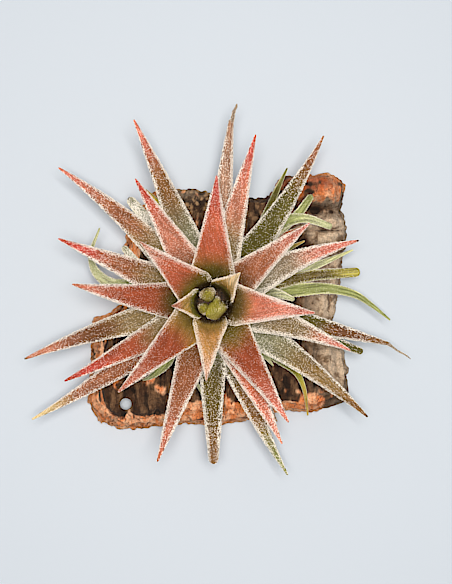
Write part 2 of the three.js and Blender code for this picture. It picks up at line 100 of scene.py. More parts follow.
def makeMesh(name, points, faces, materials, values=None, faceMaterials=None, flat=None):
    # points in millimetres, faces a list of (n, 3) or (n, 4) arrays, values named per point
    mesh = bpy.data.meshes.new(name)
    mesh.vertices.add(len(points))
    mesh.vertices.foreach_set("co", (np.asarray(points) * mm).ravel())
    corners = np.concatenate([f.ravel() for f in faces])
    sizes = np.concatenate([np.full(len(f), f.shape[1]) for f in faces])
    mesh.loops.add(len(corners))
    mesh.loops.foreach_set("vertex_index", corners.astype(np.int32))
    mesh.polygons.add(len(sizes))
    mesh.polygons.foreach_set("loop_start", (np.cumsum(sizes) - sizes).astype(np.int32))
    for material in materials:
        mesh.materials.append(material)
    if faceMaterials is not None:
        mesh.polygons.foreach_set("material_index", faceMaterials.astype(np.int32))
    shaded = np.ones(len(sizes), dtype=bool) if flat is None else ~flat
    mesh.polygons.foreach_set("use_smooth", shaded)
    for key, data in (values or {}).items():
        data = np.asarray(data, dtype=np.float32)
        kind, field = attributeKinds[1 if data.ndim == 1 else data.shape[1]]
        mesh.attributes.new(key, kind, "POINT").data.foreach_set(field, data.ravel())
    mesh.update(calc_edges=True)
    piece = bpy.data.objects.new(name, mesh)
    bpy.context.scene.collection.objects.link(piece)
    return piece


mixFactor, mixA, mixB, mixResult = 0, 6, 7, 2  # the sockets that a Mix node uses for colours
colourMix, eased = {"data_type": "RGBA"}, {"interpolation_type": "SMOOTHSTEP"}


def addNode(tree, kind, settings=None, inputs=None):
    # an input is a plain value, a socket to link, or a node that is linked by its main output
    node = tree.nodes.new(kind)
    for name, value in (settings or {}).items():
        setattr(node, name, value)
    for name, value in (inputs or {}).items():
        if isinstance(value, bpy.types.Node):
            value = value.outputs[mixResult if value.bl_idname == "ShaderNodeMix" else 0]
        if isinstance(value, bpy.types.NodeSocket):
            tree.links.new(value, node.inputs[name])
        else:
            node.inputs[name].default_value = value
    return node


def newMaterial(name):
    material = bpy.data.materials.new(name)
    material.use_nodes = True
    material.node_tree.nodes.clear()
    return material, material.node_tree


# Camera: straight down, where the photograph was taken from
cameraValues = {"x": 3.75, "y": 2.75, "height": 400, "lens": 89.66, "sensor": 36, "nearest": 10}
cameraData = bpy.data.cameras.new("camera")
cameraData.lens = cameraValues["lens"]
cameraData.sensor_width = cameraValues["sensor"]
cameraData.clip_start = cameraValues["nearest"] * mm
camera = bpy.data.objects.new("camera", cameraData)
camera.location = (cameraValues["x"] * mm, cameraValues["y"] * mm, cameraValues["height"] * mm)
bpy.context.scene.collection.objects.link(camera)
bpy.context.scene.camera = camera
print("camera placed")

# Leaf skin: living bromeliad epidermis, smooth and waxy where bare, under a coat of silvery absorbing
# scales. Seen close it is a saturated skin peppered with pale specks, thickest along the edges.
skinValues = {
    "silver": "#fdf7ee",
    # from one tuft of scales to the next: the real scales are 0.2 mm across and too fine to show, so they are
    # drawn as tufts
    "dot": 0.31,
    "dotSize": (0.19, 0.38), "dotShare": (0.22, 0.98),  # a tuft's radius and chance, where bare and scaliest
    "dotStretch": 0.8, "dotEdge": (-0.08, 0.1), "dotJitter": 0.9,
    "whitest": 0.95, "mostCover": 0.88, "mostDots": 0.88,  # nearly white where scaliest, but never unbroken
    "closing": (0.3, 0.9),  # from and to which scaliness the tufts turn white and close up
    "pitShade": 0.5, "tintLift": 1.6,  # a pit and a tinted scale against the skin's own colour
    "pitting": (0.1, 0.8), "pitChance": (0.7, 0.55),  # the pits' chance at a low and a high scaliness
    "bloomFrom": 0.5, "bloom": 0.26,  # the haze of crowded scales where the leaf is scaliest
    "patchiness": 0.55,  # how far the tufts' density wanders
    "veinWidth": 0.45, "veinStretch": 0.07, "veinLift": 0.9,
    "blotch": 2.4, "blotchStretch": 0.3, "blotchShade": (0.84, 1.14),
    "noiseSpan": (0.3, 0.7),  # where nearly all values of a noise lie
    "rough": (0.42, 0.85),  # bare and scaly
    "ior": 1.42, "specular": 0.2,
    "bump": 0.06, "bumpStrength": 0.7,
}


def leafSkin(name, silverStrength, pitShare, whiteness, veinShade):
    v = skinValues
    material, tree = newMaterial(name)
    flush, scaly, grain = (addNode(tree, "ShaderNodeAttribute", {"attribute_name": key}).outputs[socket]
                           for key, socket in (("flush", "Color"), ("scaly", "Fac"), ("grain", "Vector")))
    along, patchy, dotty = (addNode(tree, "ShaderNodeVectorMath", {"operation": "MULTIPLY"}, {
        0: grain, 1: (1, v[stretch], 1)}) for stretch in ("veinStretch", "blotchStretch", "dotStretch"))
    veins, blotches = (addNode(tree, "ShaderNodeTexNoise", {}, {
        "Vector": vector, "Scale": 1 / v[size], "Detail": detail})
        for vector, size, detail in ((along, "veinWidth", 2.0), (patchy, "blotch", 3.0)))
    dots = addNode(tree, "ShaderNodeTexVoronoi", {"voronoi_dimensions": "2D"}, {
        "Vector": dotty, "Scale": 1 / v["dot"], "Randomness": v["dotJitter"]})
    chance = addNode(tree, "ShaderNodeSeparateColor", {}, {"Color": dots.outputs["Color"]})
    # streaks and patches shade the skin, the scales crowd and thin out in patches, and where they crowd there
    # is a bloom, another share of pits and no gloss
    streaks, patches, wander, bloom, pitChance, rough = (addNode(tree, "ShaderNodeMapRange", {}, {
        "Value": value, "From Min": span[0], "From Max": span[1], "To Min": least, "To Max": most})
        for value, span, least, most in (
            (veins, v["noiseSpan"], 1 - veinShade, 1 + veinShade * v["veinLift"]),
            (blotches, v["noiseSpan"], *v["blotchShade"]),
            (blotches, v["noiseSpan"], -v["patchiness"] / 2, v["patchiness"] / 2),
            (scaly, (v["bloomFrom"], 1), 0, v["bloom"]),
            (scaly, v["pitting"], *(pitShare * share for share in v["pitChance"])),
            (scaly, (0, 1), *v["rough"])))
    opening, closed = v["closing"]
    cover, paleness = (addNode(tree, "ShaderNodeMapRange", eased, {
        "Value": scaly, "From Min": opening, "From Max": closed, "To Min": least, "To Max": most})
        for least, most in ((silverStrength, v["mostCover"]), (whiteness, v["whitest"])))
    shading = addNode(tree, "ShaderNodeMath", {"operation": "MULTIPLY"}, {0: streaks, 1: patches})
    skin = addNode(tree, "ShaderNodeVectorMath", {"operation": "SCALE"}, {0: flush, "Scale": shading})
    hazed = addNode(tree, "ShaderNodeMix", colourMix, {
        mixFactor: bloom, mixA: skin, mixB: hexColour(v["silver"])})
    # each dot is a pale tuft of scales, a dark pit between them or bare skin, by its own chance
    density = addNode(tree, "ShaderNodeMath", {"operation": "MULTIPLY_ADD"}, {0: wander, 1: scaly, 2: scaly})
    broken = addNode(tree, "ShaderNodeMath", {"operation": "MINIMUM"}, {0: density, 1: v["mostDots"]})
    radius, share = (addNode(tree, "ShaderNodeMath", {"operation": "MULTIPLY_ADD"}, {
        0: broken, 1: v[key][1], 2: v[key][0]}) for key in ("dotSize", "dotShare"))
    inside = addNode(tree, "ShaderNodeMath", {"operation": "SUBTRACT"}, {
        0: radius, 1: dots.outputs["Distance"]})
    core = addNode(tree, "ShaderNodeMapRange", eased, {
        "Value": inside, "From Min": v["dotEdge"][0], "From Max": v["dotEdge"][1]})
    tuftOn, pitOn = (addNode(tree, "ShaderNodeMath", {"operation": "LESS_THAN"}, {
        0: chance.outputs[channel], 1: most}) for channel, most in ((0, share), (1, pitChance)))
    tuft, pit = (addNode(tree, "ShaderNodeMath", {"operation": "MULTIPLY"}, {0: on, 1: core})
                 for on in (tuftOn, pitOn))
    tuftCover = addNode(tree, "ShaderNodeMath", {"operation": "MULTIPLY"}, {0: tuft, 1: cover})
    tinted, pitColour = (addNode(tree, "ShaderNodeVectorMath", {"operation": "SCALE"}, {
        0: skin, "Scale": v[lift]}) for lift in ("tintLift", "pitShade"))
    tuftColour = addNode(tree, "ShaderNodeMix", colourMix, {
        mixFactor: paleness, mixA: tinted, mixB: hexColour(v["silver"])})
    tufted = addNode(tree, "ShaderNodeMix", colourMix, {mixFactor: tuftCover, mixA: hazed, mixB: tuftColour})
    pitted = addNode(tree, "ShaderNodeMix", colourMix, {mixFactor: pit, mixA: tufted, mixB: pitColour})
    height = addNode(tree, "ShaderNodeMath", {"operation": "ADD"}, {0: tuftCover, 1: veins})
    bump = addNode(tree, "ShaderNodeBump", {}, {
        "Height": height, "Strength": v["bumpStrength"], "Distance": v["bump"] * mm})
    surface = addNode(tree, "ShaderNodeBsdfPrincipled", {}, {
        "Base Color": pitted, "Roughness": rough, "Normal": bump, "IOR": v["ior"],
        "Specular IOR Level": v["specular"]})
    addNode(tree, "ShaderNodeOutputMaterial", {}, {"Surface": surface})
    return material


# Raised scales: the free wings of the trichomes, dead, air-filled and white, so they scatter light.
def scaleMaterial():
    v = {"rough": 0.7, "ior": 1.4, "specular": 0.3}
    material, tree = newMaterial("silvery leaf scales")
    flush = addNode(tree, "ShaderNodeAttribute", {"attribute_name": "flush"})
    surface = addNode(tree, "ShaderNodeBsdfPrincipled", {}, {
        "Base Color": flush.outputs["Color"], "Roughness": v["rough"], "IOR": v["ior"],
        "Specular IOR Level": v["specular"]})
    addNode(tree, "ShaderNodeOutputMaterial", {}, {"Surface": surface})
    return material


# how strongly the scales cover, the share of dark pits, how white the scales are and how far veins show
skinRows = {
    "bud_leaf": ("young rolled leaf skin", 0.5, 0.3, 0.2, 0.16),
    "young_leaf": ("unrolling leaf skin", 0.6, 0.12, 0.4, 0.42),
    "blushed_leaf": ("sun-blushed leaf skin", 0.92, 0.24, 0.6, 0.24),
    "silvered_leaf": ("silver-scaled leaf skin", 0.8, 0.26, 0.66, 0.26),
    "aged_leaf": ("old grey-brown leaf skin", 0.85, 0.35, 0.67, 0.32),
    "green_leaf": ("shaded green leaf skin", 0.96, 0.4, 0.72, 0.28),
    "offset_leaf": ("soft offset leaf skin", 0.5, 0.14, 0.4, 0.5),
}
leafMaterials = {slotName: leafSkin(*row) for slotName, row in skinRows.items()}
scaleWhite = scaleMaterial()
print("leaf materials made")

# Blades: leaves of the plant and of its offsets
leafHues = {
    # the first hue is the painted shade of the rosette's dark heart, and shadow is the painted shadow on the
    # leaves' feet
    "wellShade": "#2b1b10", "olive": "#82712d", "moss": "#5b5428", "lime": "#9a943a", "straw": "#dcc28c",
    "sage": "#868468", "umber": "#7d5733", "drab": "#5f5129", "brown": "#6b4226", "russet": "#a05036",
    "sienna": "#92593c", "coral": "#c9694a", "flame": "#df8267", "melon": "#d47f69", "scarlet": "#b94c40",
    "salmon": "#c27b61", "rose": "#cb7361", "clay": "#b96e57", "peach": "#d3a083", "amber": "#cf9a55",
    "tan": "#aa8168", "taupe": "#93826a", "blush": "#ae6a4a", "hazel": "#8a7550", "shadow": "#3a3315",
    "cream": "#efd8aa", "dry": "#a09280", "char": "#4a3d33", "fresh": "#92985e", "pale": "#b7b98e",
    "gold": "#b9984c", "grass": "#7e7f4c", "light": "#d2d29b", "reed": "#b0a653", "bronze": "#86693c",
}
bladeValues = {
    "stations": 60, "upperPoints": 13, "lipPoints": 3, "underPoints": 10,
    "rootShare": 0.76, "shoulder": 0.22, "taper": 1, "tipWidth": 0.45, "thinnest": 0.5,
    "channel": (0.3, 0.15), "thick": (0.14, 0.33), "channelRun": 0.45, "thickRun": 0.35, "tipCap": 0.45,
    "rim": (0.95, 0.68), "rimRun": (0.3, 0.95),  # where the edge stands, as a share of the half-width
    "lip": (0.04, 0.15), "hollowPower": 1.7,  # the lip's depth, and how flat the channel's floor is
    "wave": 0.016,
    "hueTurns": (0.16, 0.46, 0.58, 0.93),  # where the foot, middle and end colours meet along a leaf
    "edgeScaly": 0.58,
    "endScaly": 0.07,  # how much scalier the outer half is than the row says
    "strips": (0.5, 0.5),  # the scaly edges begin here, right and left seen from the stem, in half-widths
    "bristle": 1.0,  # the share of the raised scales that it carries
    "shade": 0.93, "wellShade": (5.2, 6.4),  # how dark the painted shade in the well is, and from and to which radius
    "shadowed": True,  # whether the leaves above shade its foot
    "drawn": 0.995,  # the fine skin ends here, so that its raised scales stay within the leaf's length
    "capRings": 4,
}
paintValues = {
    "wander": 0.05, "lag": 0.06,  # how far along the leaf the colours wander, and lag at the edges
    "rimLight": (0.62, 0.9, 0.75),  # an offset's lighter edge: from and to which half-width, and how much
    "stripWiden": (0.45, 0.85, 0.45),  # the scaly edges widen from and to this share of the length, so much
    "scalyStops": (0.0, 0.18, 0.5, 0.9, 1.0), "tipScaly": 0.7,
    "endTurn": (0.5, 0.8),
    "edgeFade": (0.75, 1, 0.35),
    "underScaly": 0.12, "underGrey": (0.28, 0.6),  # how much greyer underneath, and how much less at the tip
    "wellBare": 0.9,
    "dryTurn": (0.99, 1.04, 0.8), "markTurn": (0.975, 0.995),
    "around": 400, "apart": 90,  # each blade's pattern starts somewhere else, so that no two are alike
}
scaleValues = {
    "perArea": 6.0,  # raised scales to a square millimetre where a leaf is fully scaly
    "edgeBoost": 2.6, "edgeFrom": 0.75,
    "length": 0.18, "edgeLength": 0.30, "base": 0.085, "sunk": 0.05, "lift": 0.75, "scatter": 0.45,
    "forward": 0.6, "sizes": (0.7, 1.3),
    "fullAt": 3.0, "smallest": 0.15,  # thin tips carry small scales
    "whiteness": 0.92, "shades": (0.9, 1.08),
    "highest": 60.95,  # no scale stands above the tallest leaf's own tip
}
threadValues = {  # the withered ends: how they narrow, sway and ripple
    "rings": 21, "short": 0.15, "neck": 0.35, "taper": 0.6, "sway": 0.48, "ripple": 0.12,
    "beyond": (1.02, 1.2),  # where their rings lie along the leaf for its colours
}
plantValues = {
    "gap": 0.3,  # between a leaf and the stem
    "stemFoot": 17.2, "stemShoulder": 24, "stemTop": 30.4, "stemRadii": (4.4, 5.0, 3.3), "stemDome": 0.5,
    "rootHeights": (29.6, 23.0), "rootSpread": 0.8, "budShare": 0.75,
    "lean": (86, 24),  # degrees of rise at the root of the innermost and the outermost leaf
    "leanSpread": 0.85, "pull": (0.36, 0.3), "droop": 14, "leastDroop": 0.4,
    "budShade": (31.5, 34.5),  # how high the painted shade of the well reaches up the buds
    "shadow": (6.2, 10.8, 0.78),  # from and to which radius the feet are shaded, and how much
}
# rolled tight: rounded on both sides, with hardly any scales on its edges
rolled = {"channel": (-0.42, -0.42), "thick": (0.86, 0.86), "tipCap": 0.62, "edgeScaly": 0.2, "bristle": 0.25,
          "hollowPower": 2.6, "rim": (0.97, 0.97), "lip": (0.02, 0.02), "underPoints": 19, "upperPoints": 17,
          "hueTurns": (0.3, 0.7, 0.8, 1.0), "taper": 3, "endScaly": 0}
dryRight = {"bearing": 344.3, "reach": 52.6, "drop": 1, "keep": 0.6}
dryTop = {"bearing": 82.6, "reach": 50.5, "drop": 0.8, "keep": 0.75}

# slot, bearing in degrees, reach, tip height, width, hues and scaliness of foot, middle and end, the rest
leafRows = [
    ("bud_leaf", 12, 1.8, 35.6, 2.6, "olive lime lime", (0.1, 0.35, 0.45), {"blunt": 0.5, **rolled}),
    ("bud_leaf", 217, 2.7, 36.6, 3.1, "olive lime lime", (0.1, 0.35, 0.45), {"blunt": 0.6, **rolled}),
    ("bud_leaf", 112, 2.7, 38.0, 4.1, "olive lime lime", (0.1, 0.35, 0.45), {"blunt": 0.5, **rolled}),
    ("bud_leaf", 316, 2.6, 38.0, 5.2, "olive lime lime", (0.05, 0.2, 0.2), {
        "blunt": 0.12, **rolled, "nod": (-2.9, -1.3)}),
    ("young_leaf", 184, 9.3, 43, 7.4, "lime gold salmon", (0.05, 0.2, 0.4), {
        "strips": (0.88, 0.84), "hueTurns": (0.3, 0.5, 0.6, 0.9), "wellShade": (4.2, 4.9),
        "shadowed": False}),
    ("young_leaf", 46, 10.1, 44, 7.4, "lime gold cream", (0.05, 0.2, 0.3), {
        "strips": (0.86, 0.88), "wellShade": (4.5, 5.4), "shadowed": False,
        "hueTurns": (0.1, 0.3, 0.45, 0.72)}),
    ("blushed_leaf", 267, 18.1, 54, 8.6, "gold amber peach", (0.0, 0.22, 0.45), {
        "strips": (0.45, 0.45), "wellShade": (4.9, 6.0), "shadowed": False}),
    ("blushed_leaf", 138.5, 21.8, 57, 10.0, "olive coral salmon", (0.0, 0.18, 0.5), {
        "strips": (0.6, 0.8), "wellShade": (5.0, 6.3), "shadowed": False}),
    ("blushed_leaf", 355, 24.5, 59, 10.4, "gold flame rose", (0.0, 0.24, 0.4), {}),
    ("blushed_leaf", 224, 29.6, 60, 10.4, "gold russet clay", (0.0, 0.08, 0.3), {"strips": (0.55, 0.8)}),
    ("blushed_leaf", 87, 29.8, 61, 11.2, "olive coral scarlet", (0.0, 0.12, 0.25), {"strips": (0.6, 0.75)}),
    ("blushed_leaf", 303.5, 33.3, 58, 10.8, "olive russet rose", (0.2, 0.08, 0.38), {"strips": (0.4, 0.72)}),
    ("blushed_leaf", 172, 32.7, 57, 10.0, "moss russet clay", (0.0, 0.1, 0.3), {"bow": 1.1}),
    ("blushed_leaf", 39, 30.2, 55, 9.6, "umber blush rose", (0.13, 0.28, 0.45), {}),
    ("silvered_leaf", 251.5, 39.7, 53, 9.2, "umber sienna clay", (0.25, 0.2, 0.38), {}),
    ("silvered_leaf", 121, 34.5, 54, 9.0, "umber salmon scarlet", (0.4, 0.3, 0.25), {}),
    ("silvered_leaf", 341.5, 35.4, 50, 9.6, "sage hazel rose", (0.5, 0.38, 0.48), {"bow": 1.3}),
    ("silvered_leaf", 208, 39.7, 50, 8.6, "hazel russet scarlet", (0.38, 0.14, 0.18), {
        "bow": 0.6, "hueTurns": (0.3, 0.55, 0.6, 0.85)}),
    ("silvered_leaf", 75, 42.0, 50, 8.8, "hazel salmon scarlet", (0.45, 0.3, 0.25), {
        "hueTurns": (0.3, 0.6, 0.66, 0.9)}),
    ("silvered_leaf", 297, 38.2, 47, 8.4, "drab coral melon", (0.35, 0.32, 0.5), {}),
    ("silvered_leaf", 157, 40.1, 47, 9.0, "hazel sienna scarlet", (0.4, 0.3, 0.3), {
        "hueTurns": (0.3, 0.55, 0.6, 0.85)}),
    ("silvered_leaf", 23, 39.0, 47, 9.2, "sage taupe rose", (0.52, 0.36, 0.28), {
        "bow": 2.0, "mark": "char", "hueTurns": (0.16, 0.46, 0.48, 0.8)}),
    ("aged_leaf", 271, 38.9, 40, 7.8, "sage drab umber", (0.42, 0.3, 0.38), {"blunt": 0.3}),
    ("aged_leaf", 112.7, 48.6, 45, 8.5, "sage umber rose", (0.4, 0.22, 0.24), {
        "bow": -0.6, "hueTurns": (0.3, 0.6, 0.62, 0.93)}),
    ("aged_leaf", 324, 48.1, 39, 8.6, "sage bronze umber", (0.45, 0.28, 0.15), {
        "hueTurns": (0.3, 0.6, 0.7, 0.95), "bow": 1.8, "mark": "char"}),
    ("aged_leaf", 196.7, 48.3, 39, 8.2, "hazel brown salmon", (0.35, 0.16, 0.2), {
        "bow": -1.7, "mark": "char", "hueTurns": (0.36, 0.58, 0.6, 0.95)}),
    ("green_leaf", 56, 49.7, 42, 8.2, "moss moss sienna", (0.2, 0.22, 0.3), {
        "bow": -2.0, "hueTurns": (0.16, 0.46, 0.6, 0.9)}),
    ("silvered_leaf", 294, 47.4, 34, 7.2, "drab umber grass", (0.35, 0.4, 0.42), {
        "bow": -1.6, "hueTurns": (0.3, 0.52, 0.6, 0.85)}),
    ("aged_leaf", 138.4, 50.9, 37, 8.0, "hazel sienna rose", (0.38, 0.2, 0.36), {
        "bow": -2.0, "hueTurns": (0.3, 0.6, 0.66, 0.95)}),
    ("aged_leaf", 347, 45.9, 33, 7.6, "moss brown umber", (0.36, 0.16, 0.3), {
        "bow": 0.5, "tipWidth": 0.9, "dry": dryRight, "hueTurns": (0.52, 0.68, 0.8, 0.97)}),
    ("aged_leaf", 213, 54.1, 32, 7.6, "umber sienna straw", (0.4, 0.26, 0.24), {
        "bow": 1.4, "hueTurns": (0.16, 0.46, 0.7, 0.92)}),
    ("aged_leaf", 83.7, 45.7, 36, 7.0, "tan tan tan", (0.5, 0.35, 0.35), {"tipWidth": 1.3, "dry": dryTop}),
    ("aged_leaf", 299, 34.4, 31, 5.0, "drab drab umber", (0.4, 0.4, 0.4), {}),
    ("green_leaf", 342, 40.0, 29.5, 5.0, "moss moss moss", (0.3, 0.25, 0.2), {"blunt": 0.35, "bow": 0.6}),
]


def stemRadius(height):
    foot, shoulder, top = plantValues["stemFoot"], plantValues["stemShoulder"], plantValues["stemTop"]
    low, middle, high = plantValues["stemRadii"]
    return mix(mix(low, middle, smooth(foot, shoulder, height)), high, smooth(shoulder, top, height))


def widthAt(leaf, t):
    root = mix(leaf["rootShare"], 1, smooth(0, leaf["shoulder"], t))
    run = np.maximum(0, (t - leaf["shoulder"]) / (1 - leaf["shoulder"])) ** leaf["taper"]
    left = leaf.get("blunt", leaf["tipWidth"] / leaf["width"])
    return leaf["width"] * root * mix(1, left, run)


def depthAt(leaf, t):
    width = widthAt(leaf, t)
    channel = width * mix(*leaf["channel"], smooth(0, leaf["channelRun"], t))
    thick = np.maximum(leaf["thinnest"], width * mix(*leaf["thick"], smooth(0, leaf["thickRun"], t)))
    return channel, thick


def slowWave(rng, t):  # a gentle irregular wave along a leaf, about -1 to 1
    phases = rng.uniform(0, 2 * math.pi, 3)
    waves = zip((0.55, 0.3, 0.15), (1.7, 4.3, 9.1), phases)
    return sum(much * np.sin(2 * math.pi * often * t + phase) for much, often, phase in waves)


def sections(leaf, t, rng):
    # rings of [sideways, upwards] and, for each point, how far out it is and whether it is on top
    half = widthAt(leaf, t)[:, None] / 2
    channel, thick = (d[:, None] for d in depthAt(leaf, t))
    run = smooth(*leaf["rimRun"], t)[:, None]
    rim, lip = mix(*leaf["rim"], run), mix(*leaf["lip"], run) * half * 2
    u = np.linspace(-1, 1, leaf["upperPoints"])[None, :]
    upperX, upperZ = u * rim, channel * (np.abs(u) ** leaf["hollowPower"] - 1)
    turn = np.linspace(0, math.pi / 2, leaf["lipPoints"] + 1)[None, 1:]
    lipX, lipZ = rim + (1 - rim) * np.sin(turn), -lip * (1 - np.cos(turn))
    swing = np.linspace(0, math.pi, leaf["underPoints"] + 2)[None, 1:-1]
    c = np.cos(swing)
    underX = c + 0 * rim
    underZ = -channel * (1 - c * c) - thick * np.sin(swing) - lip * c * c
    out = np.concatenate([upperX, lipX, underX, -lipX[:, ::-1]], axis=1)
    z = np.concatenate([upperZ, lipZ, underZ, lipZ[:, ::-1]], axis=1)
    waves = [1 + leaf["wave"] * slowWave(rng, t)[:, None] for _ in range(2)]
    x = np.where(out > 0, out * waves[0], out * waves[1]) * half
    upper = np.zeros(x.shape[1])
    upper[:leaf["upperPoints"]] = 1
    return x, z, out, upper


def bladeMesh(leaf, centre, tangent, side, t, rng):
    # closed blade along centre points: its rings, and where each point lies across and along it
    up = np.cross(tangent, side)
    x, z, out, upper = sections(leaf, t, rng)
    channel, thick = depthAt(leaf, t)
    middle = -channel - thick / 2
    rings = centre[:, None] + side[:, None] * x[..., None] + up[:, None] * z[..., None]
    # the end: rings that shrink round the section's middle
    run = widthAt(leaf, t[-1:])[0] * leaf["tipCap"]
    heart = centre[-1] + up[-1] * middle[-1]
    caps = []
    for k in range(1, leaf["capRings"]):
        share = math.sin(math.pi / 2 * k / leaf["capRings"])
        shrink = math.sqrt(1 - share * share)
        caps.append(heart + (rings[-1] - heart) * shrink + tangent[-1] * run * share)
    rings = np.concatenate([rings, np.array(caps)])
    t = np.concatenate([t, np.ones(len(caps))])
    out = np.concatenate([out, np.repeat(out[-1:], len(caps), axis=0)])
    end = heart + tangent[-1] * run
    start = centre[0] + up[0] * middle[0] - tangent[0] * plantValues["gap"]
    return rings, out, upper, t, start, end


def hue(name):
    return np.array(hexColour(leafHues[name])[:3])


def hueAlong(leaf, t):
    a, b, c, d = leaf["hueTurns"]
    foot, half, last = (hue(name) for name in leaf["hues"])
    colour = mix(foot, half, smooth(a, b, t)[..., None])
    return mix(colour, last, smooth(c, d, t)[..., None])


def paintHeartShade(leaf, rings, colour):
    # painted shade in the dark well between the bases, and painted shadow on the feet round it: the colour,
    # and how far in a point is
    fromAxis = np.hypot(rings[..., 0], rings[..., 1])
    if leaf["channel"][0] > 0:
        inside = 1 - smooth(*leaf["wellShade"], fromAxis)
        if leaf["shadowed"]:
            near, far, most = plantValues["shadow"]
            colour = mix(colour, hue("shadow"), (most * (1 - smooth(near, far, fromAxis)))[..., None])
    else:  # the buds take the painted shade only at their feet
        feet = 1 - smooth(*plantValues["budShade"], rings.mean(axis=1)[:, 2])[:, None]
        inside = np.repeat(feet, rings.shape[1], axis=1)
    return mix(colour, hue("wellShade"), leaf["shade"] * inside[..., None]), inside


def paintBlade(leaf, rings, out, upper, t, rng):
    # colour, scaliness and grain for each point
    v = paintValues
    length = np.concatenate([[0], np.cumsum(np.linalg.norm(np.diff(rings.mean(axis=1), axis=0), axis=1))])
    far = np.abs(out)
    wander = v["wander"] * slowWave(rng, np.linspace(0, 1, len(t)))[:, None] * (far * 2 - 1)
    place = np.clip(t[:, None] + wander - v["lag"] * far ** 3, 0, 1)
    colour = hueAlong(leaf, place)
    below = 1 - upper[None, :]
    if "edgeHue" in leaf:
        begin, full, most = v["rimLight"]
        colour = mix(colour, hue(leaf["edgeHue"]), (most * smooth(begin, full, far))[..., None])
    # the scaly edges widen towards the tip
    begin, full, most = v["stripWiden"]
    strip = np.where(out > 0, leaf["strips"][1], leaf["strips"][0])
    edge = smooth(strip * (1 - most * smooth(begin, full, t)[:, None]), 1.0, far)
    foot, half, last = leaf["scaly"]
    scaly = np.interp(t, v["scalyStops"], (foot, foot, half, last, last * v["tipScaly"]))[:, None]
    scaly = scaly + leaf["endScaly"] * smooth(*v["endTurn"], t)[:, None]
    begin, full, most = v["edgeFade"]
    scaly = scaly + edge * leaf["edgeScaly"] * (1 - most * smooth(begin, full, t)[:, None])
    scaly = scaly + v["underScaly"] * below
    # the undersides are duller and greyer
    most, less = v["underGrey"]
    colour = mix(colour, hue("sage"), (most * below * (1 - less * t[:, None]))[..., None])
    if leaf.get("onStem"):
        colour, inside = paintHeartShade(leaf, rings, colour)
        # the scales fade where the painted shade lies
        scaly = scaly * (1 - v["wellBare"] * inside)
    if "dry" in leaf:
        begin, full, most = v["dryTurn"]
        colour = mix(colour, hue("dry"), most * smooth(begin, full, t)[:, None, None])
    if "mark" in leaf:
        colour = mix(colour, hue(leaf["mark"]), smooth(*v["markTurn"], t)[:, None, None])
    steps = np.linalg.norm(np.diff(rings, axis=1), axis=2)
    around = np.concatenate([np.zeros((len(t), 1)), np.cumsum(steps, axis=1)], axis=1)
    around = around + rng.uniform(0, v["around"])
    along = np.repeat(length[:, None], around.shape[1], axis=1)
    grain = np.stack([around, along, np.full(around.shape, rng.uniform(0, v["apart"]))], axis=2)
    return colour, np.clip(scaly, 0, 1), grain


def gridFaces(rows, count):  # between rings of count points
    i, j = np.meshgrid(np.arange(rows - 1), np.arange(count), indexing="ij")
    here, after = i * count + j, i * count + (j + 1) % count
    return np.stack([here, here + count, after + count, after], axis=-1).reshape(-1, 4)


def growScales(rings, colour, scaly, out, bristle, rng):
    # small three-sided spikes, each a closed solid sunk into the skin, leaning towards the tip
    v = scaleValues
    here, onward = rings[:-1], rings[1:]
    a, b = here, np.roll(here, -1, axis=1)
    c, d = np.roll(onward, -1, axis=1), onward
    across = np.cross(c - a, d - b)
    area = np.linalg.norm(across, axis=-1) / 2
    normal = unit(-across)
    along = unit(onward - here)
    edge = smooth(v["edgeFrom"], 1.0, np.abs(out[:-1]))
    wanted = area * v["perArea"] * bristle * scaly[:-1] * (1 + edge * v["edgeBoost"])
    number = int(wanted.sum())
    pick = rng.choice(wanted.size, size=number, p=(wanted / wanted.sum()).ravel())
    s, q = rng.random((2, number, 1))
    corner = [p.reshape(-1, 3)[pick] for p in (a, b, c, d)]
    place = mix(mix(corner[0], corner[1], q), mix(corner[3], corner[2], q), s)
    n, l = normal.reshape(-1, 3)[pick], along.reshape(-1, 3)[pick]
    e = edge.ravel()[pick][:, None]
    breadth = np.linalg.norm(here.max(axis=1) - here.min(axis=1), axis=1)
    thin = np.clip(breadth / v["fullAt"], v["smallest"], 1)
    size = thin[pick // rings.shape[1]][:, None] * rng.uniform(*v["sizes"], (number, 1))
    sway = rng.normal(0, v["scatter"], (number, 3))
    lean = unit(n * mix(v["lift"], 1.0, e) + l * v["forward"] + sway)
    apex = place + lean * mix(v["length"], v["edgeLength"], e) * size
    apex[:, 2] = np.minimum(apex[:, 2], v["highest"])
    w = np.cross(n, l)
    spin = rng.uniform(0, 2 * math.pi, (number, 1))
    base = []
    for k in range(3):
        turn = spin + 2 * math.pi * k / 3
        base.append(place - n * v["sunk"] + (l * np.cos(turn) + w * np.sin(turn)) * v["base"] * size ** 0.5)
    points = np.stack(base + [apex], axis=1).reshape(-1, 3)
    first = np.arange(number)[:, None] * 4
    faces = np.concatenate([first + f for f in ((0, 2, 1), (0, 1, 3), (1, 2, 3), (2, 0, 3))])
    tint = colour[:-1].reshape(-1, 3)[pick]
    white = np.array(hexColour(skinValues["silver"])[:3])
    shade = mix(tint, white, v["whiteness"]) * rng.uniform(*v["shades"], (number, 1))
    return points, faces, np.repeat(np.clip(shade, 0, 1), 4, axis=0)


